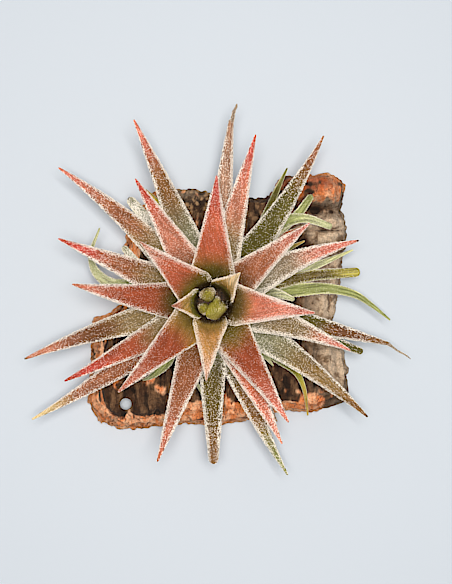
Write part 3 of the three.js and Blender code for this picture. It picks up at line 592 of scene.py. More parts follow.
def joinBlades(name, blades, slotName, replaced):
    # each blade is (rings, out, upper, t, start, end, leaf, rng)
    points, quads, tris, colours, scaliness, grains, spikes = [], [], [], [], [], [], []
    total = 0
    for rings, out, upper, t, start, end, leaf, rng in blades:
        colour, scaly, grain = paintBlade(leaf, rings, out, upper, t, rng)
        rows, count = rings.shape[:2]
        quads.append(gridFaces(rows, count)[:, ::-1] + total)
        ring = np.arange(count)
        after = (ring + 1) % count
        startIndex, endIndex = total + rows * count, total + rows * count + 1
        lastRow = total + (rows - 1) * count
        tris.append(np.stack([total + ring, total + after, np.full(count, startIndex)], axis=1))
        tris.append(np.stack([lastRow + after, lastRow + ring, np.full(count, endIndex)], axis=1))
        points += [rings.reshape(-1, 3), start[None], end[None]]
        colours += [colour.reshape(-1, 3), colour[0].mean(axis=0)[None], colour[-1].mean(axis=0)[None]]
        scaliness += [scaly.ravel(), [0.0], [scaly[-1].mean()]]
        grains += [grain.reshape(-1, 3), grain[0, :1], grain[-1, :1]]
        total += rows * count + 2
        spikes.append(growScales(rings, colour, scaly, out, leaf["bristle"], rng))
    skinFaces = [np.concatenate(quads), np.concatenate(tris)]
    spikeFaces = []
    for spikePoints, faces, shade in spikes:
        spikeFaces.append(faces + total)
        points.append(spikePoints)
        colours.append(shade)
        scaliness.append(np.ones(len(spikePoints)))
        grains.append(np.zeros((len(spikePoints), 3)))
        total += len(spikePoints)
    spikeFaces = np.concatenate(spikeFaces)
    isSpike = np.repeat([False, True], [len(skinFaces[0]) + len(skinFaces[1]), len(spikeFaces)])
    rgb = np.concatenate(colours)
    piece = makeMesh(name, np.concatenate(points), skinFaces + [spikeFaces], [
        leafMaterials[slotName], scaleWhite], {
        "flush": np.concatenate([rgb, np.ones((len(rgb), 1))], axis=1),
        "scaly": np.concatenate(scaliness), "grain": np.concatenate(grains)}, isSpike.astype(int), isSpike)
    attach(piece, "root")
    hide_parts(replaced)


def turnZ(points, degrees):
    a = math.radians(degrees)
    x, y, z = np.moveaxis(np.asarray(points, dtype=float), -1, 0)
    return np.stack([x * math.cos(a) - y * math.sin(a), x * math.sin(a) + y * math.cos(a), z], axis=-1)


def leafLine(leaf, order):
    p = plantValues
    age = order / (len(leafRows) - 1)
    rootHeight = mix(*p["rootHeights"], age ** p["rootSpread"])
    clasp = stemRadius(rootHeight) - depthAt(leaf, np.zeros(1))[0][0] + p["gap"]
    start = np.array([min(clasp, leaf["reach"] * p["budShare"]), 0, rootHeight])
    tip = np.array([leaf["reach"], 0, leaf["tip"]])
    length = np.linalg.norm(tip - start)
    rise = math.degrees(math.atan2(tip[2] - start[2], tip[0] - start[0]))
    lean = math.radians(max(rise, mix(*p["lean"], age ** p["leanSpread"])))
    fall = math.radians(max(rise - p["droop"], rise * p["leastDroop"]))
    bow = np.array([0, leaf.get("bow", 0), 0])
    away = np.array([math.cos(lean), 0, math.sin(lean)]) * length * p["pull"][0]
    back = np.array([math.cos(fall), 0, math.sin(fall)]) * length * p["pull"][1]
    return turnZ([start, start + away + bow, tip - back + bow, tip], leaf["bearing"])


def bezier(control, t):
    a, b, c, d = control
    s = 1 - t[:, None]
    t = t[:, None]
    point = a * s ** 3 + b * 3 * s * s * t + c * 3 * s * t * t + d * t ** 3
    slope = (b - a) * 3 * s * s + (c - b) * 6 * s * t + (d - c) * 3 * t * t
    return point, unit(slope)


def dryThread(leaf, tipRing):
    # the withered end: rings that go on past the live tip, thinning and twisting
    v, dry = threadValues, leaf["dry"]
    heart = tipRing.mean(axis=0)
    goal = turnZ([dry["reach"] - v["short"], 0, leaf["tip"] - dry["drop"]], dry["bearing"])
    threads = []
    for s in np.linspace(0, 1, v["rings"] + 1)[1:]:
        shrink = mix(1.0, dry["keep"], smooth(0, v["neck"], s)) * (1 - v["taper"] * s ** 3)
        sway = np.array([math.sin(9 * s), math.cos(7 * s + 1), math.sin(8 * s + 2)]) * v["sway"] * s * (1 - s)
        ripple = 1 + v["ripple"] * math.sin(25 * s)
        threads.append(mix(heart, goal, s) + sway + (tipRing - heart) * shrink * ripple)
    return np.array(threads), goal


for order, row in enumerate(leafRows):
    slotName, bearing, reach, tip, width, hues, scaly, rest = row
    leaf = {**bladeValues, "bearing": bearing, "reach": reach, "tip": tip, "width": width,
            "hues": hues.split(), "scaly": scaly, "onStem": True, **rest}
    rng = np.random.default_rng(100 + order)
    t = np.linspace(0, leaf["drawn"], leaf["stations"])
    centre, tangent = bezier(leafLine(leaf, order), t)
    centre[:, :2] += np.array(leaf.get("nod", (0, 0))) * t[:, None] ** 3
    level = turnZ([0, 1, 0], bearing)
    side = unit(level - tangent * (tangent @ level)[:, None])
    rings, out, upper, t, start, end = bladeMesh(leaf, centre, tangent, side, t, rng)
    if "dry" in leaf:
        keep = leaf["stations"]
        threads, end = dryThread(leaf, rings[keep - 1])
        rings = np.concatenate([rings[:keep], threads])
        t = np.concatenate([t[:keep], np.linspace(*threadValues["beyond"], len(threads))])
        out = np.concatenate([out[:keep], np.repeat(out[keep - 1:keep], len(threads), axis=0)])
    joinBlades(f"leafBlade{order + 1:02d}", [(rings, out, upper, t, start, end, leaf, rng)], slotName,
               f"leaf_{order + 1:02d}")
print("leaves made:", len(leafRows))

# Offsets: young plants round the foot of the stem, with narrow, softer, greener leaves
offsetBlade = {**bladeValues, "stations": 34, "upperPoints": 9, "underPoints": 8, "rootShare": 0.8,
               "channel": (0.3, 0.24), "thick": (0.3, 0.28), "rim": (0.93, 0.8), "lip": (0.05, 0.1),
               "edgeScaly": 0.3, "wave": 0.03, "edgeHue": "light", "endScaly": 0}
stubValues = {"start": 3.2, "height": 19.3, "radii": (1.6, 1.8, 2.0), "points": 20, "rows": 12,
              "ringed": (0.05, 19), "out": 0.3, "cap": 0.1}  # ringed: how deep and how closely
stubLeaf = {**offsetBlade, "width": 3.6, "hues": ["umber", "drab", "fresh"], "scaly": (0.1, 0.1, 0.1)}
# each offset's foot, and for each of its blades the width, hues and scaliness as in leafRows, the rest, and
# the points that it runs through
offsetRows = {
    "right": ((12.4, 2.8), [
        (3.9, "fresh fresh fresh", (0.15, 0.15, 0.15), {}, [
            (12.1, 1.3, 20.0), (16.5, 2.6, 22.5), (22.8, 3.3, 25.5), (30.5, 3.6, 26.5), (37.0, 2.1, 25.6),
            (41.5, -0.7, 23.8), (46.4, -4.5, 21.5)]),
        (3.4, "drab drab reed", (0.35, 0.35, 0.25), {
            "blunt": 0.7, "edgeHue": "lime", "hueTurns": (0.2, 0.4, 0.75, 1.0)}, [
            (12.1, 2.8, 20.0), (17.7, 5.1, 24.0), (25.3, 6.9, 26.5), (37.1, 7.8, 27.0)]),
        (3.5, "fresh pale light", (0.2, 0.3, 0.3), {}, [
            (12.6, 3.8, 20.0), (19.0, 6.4, 23.4), (28.5, 10.2, 24.5), (36.5, 13.6, 23.5)]),
        (3.2, "pale pale pale", (0.4, 0.5, 0.5), {"blunt": 0.4}, [
            (12.6, 2.2, 20.0), (16.7, 2.4, 24.5), (20.7, 1.0, 26.5)]),
    ]),
    "upper_right": ((10.6, 12.2), [
        (4.0, "amber fresh pale", (0.2, 0.2, 0.3), {"blunt": 0.4}, [
            (11.1, 12.4, 20.0), (14.6, 16.6, 24.5), (18.6, 20.6, 27.5), (23.7, 21.6, 28.3),
            (30.4, 19.6, 27.0)]),
        (3.0, "fresh fresh fresh", (0.2, 0.25, 0.3), {"blunt": 0.6}, [
            (11.1, 13.2, 20.0), (16.7, 18.2, 24.0), (22.0, 22.5, 26.6), (25.1, 26.7, 29.6)]),
        (2.6, "fresh moss grass", (0.15, 0.15, 0.1), {}, [
            (10.0, 13.7, 20.0), (13.3, 20.7, 26.0), (16.9, 29.1, 31.0), (19.1, 33.8, 33.0)]),
        (2.8, "fresh fresh gold", (0.2, 0.2, 0.2), {}, [
            (11.6, 11.6, 20.0), (17.7, 13.1, 23.4), (23.8, 15.8, 25.5)]),
        (3.4, "umber blush blush", (0.3, 0.4, 0.4), {}, [
            (11.4, 12.0, 20.0), (16.1, 16.0, 23.6), (22.8, 19.4, 25.2)]),
    ]),
    "lower_right": ((11.6, -10.8), [
        (2.6, "fresh lime gold", (0.2, 0.15, 0.1), {}, [
            (12.1, -11.4, 19.8), (17.8, -14.9, 21.5), (21.9, -18.0, 22.3), (24.0, -22.2, 21.5),
            (25.2, -29.5, 19.0)]),
        (2.2, "fresh pale pale", (0.2, 0.2, 0.2), {}, [
            (11.3, -11.1, 20.0), (14.1, -13.9, 22.0), (15.9, -16.2, 23.0)]),
    ]),
    "left": ((-13.4, 4.2), [
        (4.0, "fresh pale pale", (0.3, 0.35, 0.4), {"edgeHue": "pale"}, [
            (-14.0, 4.1, 20.0), (-19.9, 4.3, 22.0), (-25.8, 4.8, 23.5), (-29.8, 7.9, 24.5),
            (-31.0, 12.3, 26.0), (-28.6, 18.8, 29.0)]),
        (3.4, "sage sage sage", (0.7, 0.8, 0.8), {"blunt": 0.5}, [
            (-14.0, 4.6, 20.0), (-17.7, 8.2, 23.4), (-22.2, 13.8, 26.0)]),
    ]),
    "lower_left": ((-9.8, -10.6), [
        (3.0, "fresh lime pale", (0.2, 0.2, 0.3), {}, [
            (-10.9, -11.1, 20.0), (-14.7, -12.9, 21.5), (-18.6, -15.2, 22.0), (-21.2, -18.1, 21.5)]),
        (3.0, "fresh fresh pale", (0.3, 0.3, 0.4), {}, [
            (-10.4, -11.6, 20.0), (-11.6, -15.5, 21.5), (-15.5, -19.1, 21.8), (-17.9, -20.2, 21.0)]),
        (2.6, "fresh pale pale", (0.3, 0.4, 0.4), {}, [
            (-9.0, -11.6, 20.0), (-5.8, -16.8, 21.5), (-2.6, -23.6, 22.0)]),
    ]),
    "upper_left": ((-9.2, 13.6), [
        (2.8, "fresh lime gold", (0.2, 0.2, 0.2), {}, [
            (-9.3, 14.4, 20.0), (-12.2, 20.4, 24.6), (-13.6, 25.5, 27.6), (-16.6, 28.7, 29.4)]),
        (3.8, "sage sage sage", (0.8, 0.9, 0.9), {"blunt": 0.6}, [
            (-10.3, 14.2, 20.0), (-15.3, 19.8, 24.0), (-20.5, 26.0, 27.0)]),
    ]),
}


def throughPoints(path, t):
    # a centripetal curve through the points, at shares t of it
    p = np.array(path, dtype=float)
    p = np.concatenate([[2 * p[0] - p[1]], p, [2 * p[-1] - p[-2]]])
    spans = len(path) - 1
    points, slopes = [], []
    for share in t:
        place = min(share * spans, spans - 1e-9)
        k = int(place)
        w = place - k
        p0, p1, p2, p3 = p[k:k + 4]
        d0, d1, d2 = (math.sqrt(np.linalg.norm(b - a)) for a, b in ((p0, p1), (p1, p2), (p2, p3)))
        m1 = ((p1 - p0) / d0 - (p2 - p0) / (d0 + d1) + (p2 - p1) / d1) * d1
        m2 = ((p2 - p1) / d1 - (p3 - p1) / (d1 + d2) + (p3 - p2) / d2) * d1
        c2, c3 = -3 * p1 + 3 * p2 - 2 * m1 - m2, 2 * p1 - 2 * p2 + m1 + m2
        points.append(p1 + m1 * w + c2 * w * w + c3 * w ** 3)
        slopes.append(m1 + 2 * c2 * w + 3 * c3 * w * w)
    return np.array(points), unit(np.array(slopes))


def stubBlade(place):
    # the short shoot that the offset's leaves grow from, as a round blade
    v = stubValues
    end = np.array([place[0], place[1], v["height"]])
    outward = unit(np.array([place[0], place[1], 0.0]))
    start = outward * v["start"] + np.array([0, 0, v["height"]])
    s = np.linspace(0, 1, v["rows"])
    turn = np.linspace(0, 2 * math.pi, v["points"], endpoint=False)[:, None]
    depth, often = v["ringed"]
    radius = np.interp(s, (0, 0.5, 1), v["radii"]) * (1 + depth * np.sin(s * often))
    circle = np.cross([0, 0, 1], outward) * np.cos(turn) + np.array([0, 0, 1]) * np.sin(turn)
    rings = (mix(start, end, s[:, None])[:, None] + radius[:, None, None] * circle[None])[:, ::-1]
    cap = (end - start) * v["cap"]
    return rings, np.full(rings.shape[:2], v["out"]), np.zeros(v["points"]), s, start - cap, end + cap


for offsetOrder, (name, (place, blades)) in enumerate(offsetRows.items()):
    made = []
    for bladeOrder, (width, hues, scaly, rest, path) in enumerate(blades):
        leaf = {**offsetBlade, "width": width, "hues": hues.split(), "scaly": scaly, **rest}
        rng = np.random.default_rng(300 + offsetOrder * 10 + bladeOrder)
        t = np.linspace(0, 1, leaf["stations"])
        centre, tangent = throughPoints(path, t)
        side = unit(np.cross([0, 0, 1], tangent))
        made.append((*bladeMesh(leaf, centre, tangent, side, t, rng), leaf, rng))
    made.append((*stubBlade(place), stubLeaf, np.random.default_rng(390 + offsetOrder)))
    joinBlades("offset" + name.title().replace("_", ""), made, "offset_leaf", "offset_" + name)
print("offsets made:", len(offsetRows))

# Cork bark: virgin cork, the first rough bark of the oak, stripped and sawn. The weathered outside is dark
# and deeply furrowed along the trunk, grey and lumpy where rain reached it, and fresh orange where broken.
barkValues = {
    "top": 15.5, "edgeDrop": 1.7, "edgeWidth": 3.4, "edgeFurrow": 0.2,
    "cells": 216, "sourceCells": 24,  # cells along a side, here and on the source's coarser solid
    # of the sides, from the top down: height, share of the flare, and inset
    "rows": [(1, 0, 0), (0.84, 0.45, 0), (0.62, 0.78, 0), (0.38, 1, 0), (0.14, 0.86, 0), (0, 0.86, 1.2)],
    "sideRows": 30, "footRows": (0.93, 0.8, 0.6, 0.35),
    "sideRough": 1.3, "grainAlong": 0.45, "grainDown": 1.3,
    "sideLayer": (1.5, 0.7, 26), "sideTorn": (1.1, 2.6, 9),  # depth, how close along and how close down
    "settleRows": 3, "footRough": 0.4, "blendRows": (4, 2),
    "sideDeep": (0.6, 0.4), "underDeep": 0.3, "topDeep": (0.75, 0.35),
    "flare": {"left": 3.0, "right": 0.8, "bottom": 2.8, "top": 0.9},
    "furrow": (2.4, 2.6, 7.5),  # depth, across and along the furrows
    "fineFurrow": (1.2, 1.3, 5.2), "furrowRidge": 0.4,
    "warp": (1.3, 4, 6),  # how far the lines wander, and over what distance across and along
    "plate": (5.6, 4.0), "plateGap": 0.3, "plateDepth": 0.7,
    "lump": (1.5, 2.1), "lumpGap": 0.55, "lumpWarp": 0.4,
    "crumb": (0.95, 0.9),  # depth and size
    "brokenSmooth": 0.6,
    "hole": {"x": -22.9, "y": -27.0, "level": 13.5, "diameter": 3.2, "lean": (-0.069, -0.077), "sides": 48,
             "drill": (-2.0, 26.0)},
}
barkRim = {
    "bottom": [(-27.0, -29.6), (-24.2, -31.2), (-20.4, -30.9), (-13.6, -30.3), (-6.3, -29.8), (1, -30.2),
               (7.6, -29.2), (13.5, -28.0), (19.5, -26.0), (27, -27.0), (34.4, -24.6)],
    "top": [(-18.8, 21.5), (-13.5, 28.2), (-6, 29.2), (1, 28.4), (8, 26.8), (13.5, 26.4), (18.6, 27.4),
            (20.6, 31.6), (26, 32.4), (31, 33.2), (34.4, 31.2)],
    "left": [(-27.0, -29.6), (-30.2, -26), (-30.2, -18), (-29.6, -12), (-29.4, -6.5), (-22.6, -2.5),
             (-20.8, 4), (-20.4, 14), (-18.8, 21.5)],
    "right": [(34.4, -24.6), (35.4, -19), (33.6, -12), (31.4, -5), (32.4, 2), (33.8, 9), (34.0, 14),
              (34.9, 20), (33.4, 25), (34.4, 31.2)],
}
# rise, x, y, half-width along x and along y of each form of the upper face
barkForms = [
    (7.5, 27.5, 30.0, 9.5, 5.0), (-3.2, 25.5, 24.0, 10.5, 2.4), (1.6, 31.0, 20.0, 7.0, 3.2),
    (-3.6, 36.0, 4.0, 9.0, 26.0), (-2.6, 22.0, -17.0, 11.0, 9.0), (1.8, -15.0, -23.0, 5.5, 3.0),
    (-2.4, -33.0, -12.0, 5.0, 24.0), (-2.2, -2.0, -33.0, 30.0, 4.0),
]
# where the bark is broken open and orange, and where it is weathered grey: strength, x, y, half-widths
freshSpots = [
    (1.2, 27.5, 31.0, 9.0, 3.0), (0.62, 29.0, 27.2, 4.4, 1.3), (0.5, 31.0, 29.0, 2.4, 1.2),
    (0.7, 18.0, 26.0, 3.0, 3.0), (1.0, -16.4, -19.8, 1.8, 1.8), (1.1, -13.2, -23.2, 2.6, 1.6),
    (0.8, -9.0, -27.5, 3.0, 2.0), (1.0, -3.8, -28.0, 3.5, 2.8), (1.0, 6.3, -27.6, 3.4, 2.4),
    (1.3, 27.0, -26.4, 4.6, 2.3), (0.9, -25.0, -20.5, 1.6, 3.4), (0.7, -18.0, 22.0, 3.0, 6.0),
    (0.7, -27.0, -8.0, 2.0, 3.0), (1.0, -22.0, -29.0, 1.0, 2.2),
]
# burnt or deeply cracked places in the broken corner and between the grey lumps
darkSpots = [
    (1.0, 25.5, 31.0, 3.6, 1.2), (1.2, 27.6, 24.4, 2.6, 1.2), (1.0, 31.9, 24.0, 1.0, 0.9),
    (0.8, 25.6, 29.0, 1.8, 0.9), (1.3, 31.0, 19.1, 5.5, 0.45), (0.9, 24.0, 16.0, 2.2, 4.0),
    (0.8, 21.0, 29.0, 1.6, 2.2),
]
# where the old outside reaches right to the broken rim
oldSpots = [(1.0, -16.5, -28.9, 7.0, 1.3), (0.6, -25.0, -27.6, 1.6, 2.0)]
# small forms on top of the main ones: torn ledges of the broken corner and lumps of the grey side
smallForms = [
    (1.6, 30.6, 27.7, 4.2, 0.9), (-1.3, 27.0, 29.6, 4.4, 0.7), (1.2, 25.0, 32.6, 5.0, 0.9),
    (-1.6, 29.5, 24.6, 6.5, 1.1), (1.5, 31.5, 21.7, 4.2, 1.2), (-1.2, 31.0, 19.1, 5.5, 0.5),
    (1.2, 30.0, 16.8, 4.0, 1.5), (-0.9, 27.2, 13.4, 1.0, 5.0), (1.0, 31.0, 10.0, 2.2, 3.2),
    (-0.8, 28.4, 3.5, 1.2, 4.0), (1.2, 30.4, 0.5, 1.7, 4.0), (-1.0, 31.5, -4.6, 3.0, 0.6),
    (1.1, 30.8, -9.0, 2.2, 2.6), (-1.2, 29.5, -13.5, 1.8, 0.9), (1.0, 32.2, -18.0, 2.0, 2.8),
]
# rusty red in the broken corner, and where the bark is all crumbs
rustySpots = [(1.0, 22.5, 30.5, 5.5, 3.6), (0.95, 28.5, 31.3, 5.0, 1.9), (0.7, 31.0, -27.0, 3.0, 2.0)]
crumblySpots = [(1.1, -3.0, 28.0, 11.0, 4.5), (0.4, 13.0, 24.0, 6.0, 5.0)]
weatheredSpots = [
    (1.3, 33.0, 4.0, 6.5, 17.0), (1.2, 30.0, 20.5, 8.0, 4.0), (1.1, 29.7, 27.9, 3.6, 1.1),
    (1.0, 34.0, -14.0, 5.0, 10.0), (0.8, -16.0, 23.0, 4.0, 5.0), (0.4, -10.0, 29.0, 8.0, 1.8),
]
# how the fresh cork is laid over the sides and the torn rim: each pair is from and to which x, y or distance
freshValues = {
    "slant": 0.2, "left": (4, -6), "leftOf": (-4, -14), "bottom": (-14, -24), "bottomEnd": (33, 29),
    "sides": (0.15, 0.95),  # how fresh an old side is, and how much more a broken one
    "cornerX": (14, 24), "cornerY": (20, 27), "corner": 0.9,
    "oldX": (29, 31), "oldY": (30.5, 28.5), "old": 0.5,
    "ragged": (0.4, 3.4), "raggedEnd": (17, 12),  # the torn rim, inwards, and where it stops to the right
    "skin": (1.4, 4.0, 3.4),  # old skin left on the sides: how much, and its size along and down
    "mottle": (1.5, 1.9, 2.6),  # how much, and its size across and along
    "edge": (0.42, 0.66), "sideWeather": 0.3, "darkWeather": 0.8,
}


def spots(rows, x, y):
    return sum(a * np.exp(-((x - cx) / rx) ** 2 - ((y - cy) / ry) ** 2) for a, cx, cy, rx, ry in rows)


def barkHeight(x, y):
    depth, across, along = barkValues["furrow"]
    return barkValues["top"] + spots(barkForms, x, y) + depth * (roughness(x / across, y / along) - 0.5)


def pointAlong(points, s):
    points = np.array(points, dtype=float)
    places = np.linspace(0, 1, len(points))
    return np.stack([np.interp(s, places, points[:, axis]) for axis in (0, 1)], axis=-1)


def faceAt(u, v):  # a patch between the four rim lines
    bottom, top = pointAlong(barkRim["bottom"], u), pointAlong(barkRim["top"], u)
    left, right = pointAlong(barkRim["left"], v), pointAlong(barkRim["right"], v)
    a, b, c, d = (np.array(barkRim[side][end]) for side in ("bottom", "top") for end in (0, -1))
    u, v = u[..., None], v[..., None]
    return mix(bottom, top, v) + mix(left, right, u) - mix(mix(a, b, u), mix(c, d, u), v)


def barkRelief(x, y):
    # what the years carved below the main surface: 0 on the ridges, 1 at the bottom of the cracks
    v = barkValues
    depth, across, along = v["warp"]
    warp = depth * (fractal(x / across, y / along) - 0.5)
    depth, across, along = v["fineFurrow"]
    ridge = np.abs(2 * roughness((x + warp) / across, (y + 2 * warp) / along) - 1)
    furrows = 1 - smooth(0.0, v["furrowRidge"], ridge)
    weathered = np.clip(spots(weatheredSpots, x, y), 0, 1)
    wide, long = v["plate"]
    plates = 1 - smooth(0.0, v["plateGap"], cracks((x + warp) / wide, (y - warp) / long))
    wide, long = v["lump"]
    bend = warp * v["lumpWarp"]
    lumps = smooth(0.0, v["lumpGap"], cracks((x + bend) / wide, (y - bend) / long))
    size = v["crumb"][1]
    crumbs = 0.5 * lumps + 0.5 * fractal(x / size, y / size, 2)
    broken = np.clip(spots(freshSpots, x, y), 0, 1)
    carved = mix(furrows, plates * v["plateDepth"], weathered) * (1 - v["brokenSmooth"] * broken)
    return np.maximum(carved, np.clip(spots(darkSpots, x, y), 0, 1) ** 2), crumbs


def barkSides(edge, rimHeights):
    # rings of points down the sides and in under the foot, with how deep and how far down the side each lies
    v = barkValues
    count = len(edge)
    span = round(2 * v["cells"] / v["sourceCells"])
    along = unit(np.roll(edge, -span, axis=0)[:, :2] - np.roll(edge, span, axis=0)[:, :2])
    outward = np.stack([along[:, 1], -along[:, 0]], axis=1)
    x, y = outward.T
    flare = v["flare"]
    reach = (np.abs(x) * np.where(x > 0, flare["right"], flare["left"])
             + np.abs(y) * np.where(y > 0, flare["top"], flare["bottom"]))
    rows = np.array(v["rows"], dtype=float)
    s = np.arange(count) * v["sourceCells"] / v["cells"]
    layerDepth, layerAlong, layerDown = v["sideLayer"]
    tornDepth, tornAlong, tornDown = v["sideTorn"]
    edgeRows, sideRows = v["blendRows"]
    rings, deeps, sides = [], [], []
    for r in range(1, v["sideRows"] + 1):
        level = r / v["sideRows"] * (len(rows) - 1)
        height, out, inset = (np.interp(level, np.arange(len(rows)), rows[:, c]) for c in range(3))
        wander = roughness(s * v["grainAlong"], np.full(count, (level - 1) * v["grainDown"]))
        layers = fractal(s * layerAlong, np.full(count, height * layerDown), 3)
        torn = fractal(s * tornAlong, np.full(count, height * tornDown + 50), 2)
        carve = layerDepth * (layers - 0.5) + tornDepth * (torn - 0.5)
        settle = min(1.0, r / v["settleRows"]) * (1 if r < v["sideRows"] else v["footRough"])
        rough = (v["sideRough"] * (wander - 0.5) + carve) * settle
        ring = edge.copy()
        ring[:, :2] += outward * (reach * out + rough - inset)[:, None]
        ring[:, 2] = mix(edge[:, 2], rimHeights, max(0, 1 - r / edgeRows)) * height
        rings.append(ring)
        deeps.append(1 - np.clip(layers * v["sideDeep"][0] + torn * v["sideDeep"][1], 0, 1))
        sides.append(np.full(count, min(1, r / sideRows)))
    foot = rings[-1]
    for share in v["footRows"]:
        rings.append(foot * [share, share, 0])
        deeps.append(np.full(count, v["underDeep"]))
        sides.append(np.ones(count))
    return rings, deeps, sides


def barkMasks(points, sides, inward):
    # where the cork is fresh and orange, weathered, rusty or crumbly
    v = freshValues
    x, y, z = points.T
    tornLeft = smooth(*v["left"], x + v["slant"] * y) * smooth(*v["leftOf"], x)
    tornBottom = smooth(*v["bottom"], y) * smooth(*v["bottomEnd"], x)
    torn = np.clip(tornLeft + tornBottom, 0, 1)
    old, more = v["sides"]
    fresh = spots(freshSpots, x, y) * (1 - sides) + sides * (old + more * torn)
    oldWall = smooth(*v["oldX"], x) * smooth(*v["oldY"], y)
    corner = smooth(*v["cornerX"], x) * smooth(*v["cornerY"], y) * (1 - oldWall)
    fresh += sides * v["corner"] * corner - sides * v["old"] * oldWall
    # the broken rim is torn, so the orange runs on to the top here and there, and old bark hangs over it
    fresh += (1 - sides) * (1 - smooth(*v["ragged"], inward)) * torn * smooth(*v["raggedEnd"], x)
    much, along, down = v["skin"]
    fresh += sides * much * (np.minimum(0.5, fractal((x - y) / along + 7, z / down - 5, 2)) - 0.5)
    much, wide, long = v["mottle"]
    onTop, onSide = fractal(x / wide + 31, y / long, 3), fractal((x - y) / long + 31, z / wide, 3)
    fresh += much * (mix(onTop, onSide, sides) - 0.5)
    fresh -= spots(darkSpots + oldSpots, x, y) * (1 - sides)
    weathered = (spots(weatheredSpots, x, y) * (1 - v["sideWeather"] * sides)
                 - v["darkWeather"] * spots(darkSpots, x, y) * (1 - sides))
    rusty, crumbly = (np.clip(spots(rows, x, y), 0, 1) for rows in (rustySpots, crumblySpots))
    return {"fresh": smooth(*v["edge"], fresh), "weathered": np.clip(weathered, 0, 1), "rusty": rusty,
            "crumbly": crumbly}


def buildBark():
    v = barkValues
    n = v["cells"]
    shares = np.linspace(0, 1, n + 1)
    face = faceAt(*np.meshgrid(shares, shares))
    x, y = face[..., 0], face[..., 1]
    i, j = np.meshgrid(np.arange(n + 1), np.arange(n + 1))
    breadth = barkRim["right"][0][0] - barkRim["left"][0][0]
    inward = np.minimum(np.minimum(i, j), np.minimum(n - i, n - j)) / n * breadth
    within = smooth(0, v["edgeWidth"], inward)
    carved, crumbs = barkRelief(x, y)
    base = barkHeight(x, y) + spots(smallForms, x, y) - v["edgeDrop"] * (1 - within)
    # furrows are shallower where the edge has crumbled
    z = base - v["fineFurrow"][0] * carved * mix(v["edgeFurrow"], 1, within) - v["crumb"][0] * (1 - crumbs)
    top = np.stack([x, y, z], axis=-1).reshape(-1, 3)
    # how deep each point lies, which the cork's colour turns into painted shade
    topDeep = (carved * v["topDeep"][0] + (1 - crumbs) * v["topDeep"][1]).ravel()
    grid = np.arange((n + 1) ** 2).reshape(n + 1, n + 1)
    topFaces = np.stack([grid[:-1, :-1], grid[:-1, 1:], grid[1:, 1:], grid[1:, :-1]], axis=-1).reshape(-1, 4)
    rim = np.concatenate([grid[0, :-1], grid[:-1, n], grid[n, n:0:-1], grid[n:0:-1, 0]])
    edge = top[rim].copy()
    edge[:, 2] = base.ravel()[rim]
    rings, deeps, sides = barkSides(edge, top[rim][:, 2])
    count = len(rim)
    firstRing = len(top) + np.arange(count)
    lastRing = firstRing + (len(rings) - 1) * count
    joint = np.stack([rim, firstRing, np.roll(firstRing, -1), np.roll(rim, -1)], axis=1)
    fan = np.stack([lastRing[-1] + np.ones(count, dtype=int), np.roll(lastRing, -1), lastRing], axis=1)
    points = np.concatenate([top, *rings, np.zeros((1, 3))])
    sides = np.concatenate([np.zeros(len(top)), *sides, [1.0]])
    deep = np.concatenate([topDeep, *deeps, [v["underDeep"]]])
    inward = np.concatenate([inward.ravel(), np.zeros(len(points) - inward.size)])
    return points, [topFaces, joint, gridFaces(len(rings), count) + len(top), fan], {
        "deep": deep, **barkMasks(points, sides, inward), "grain": points.copy()}


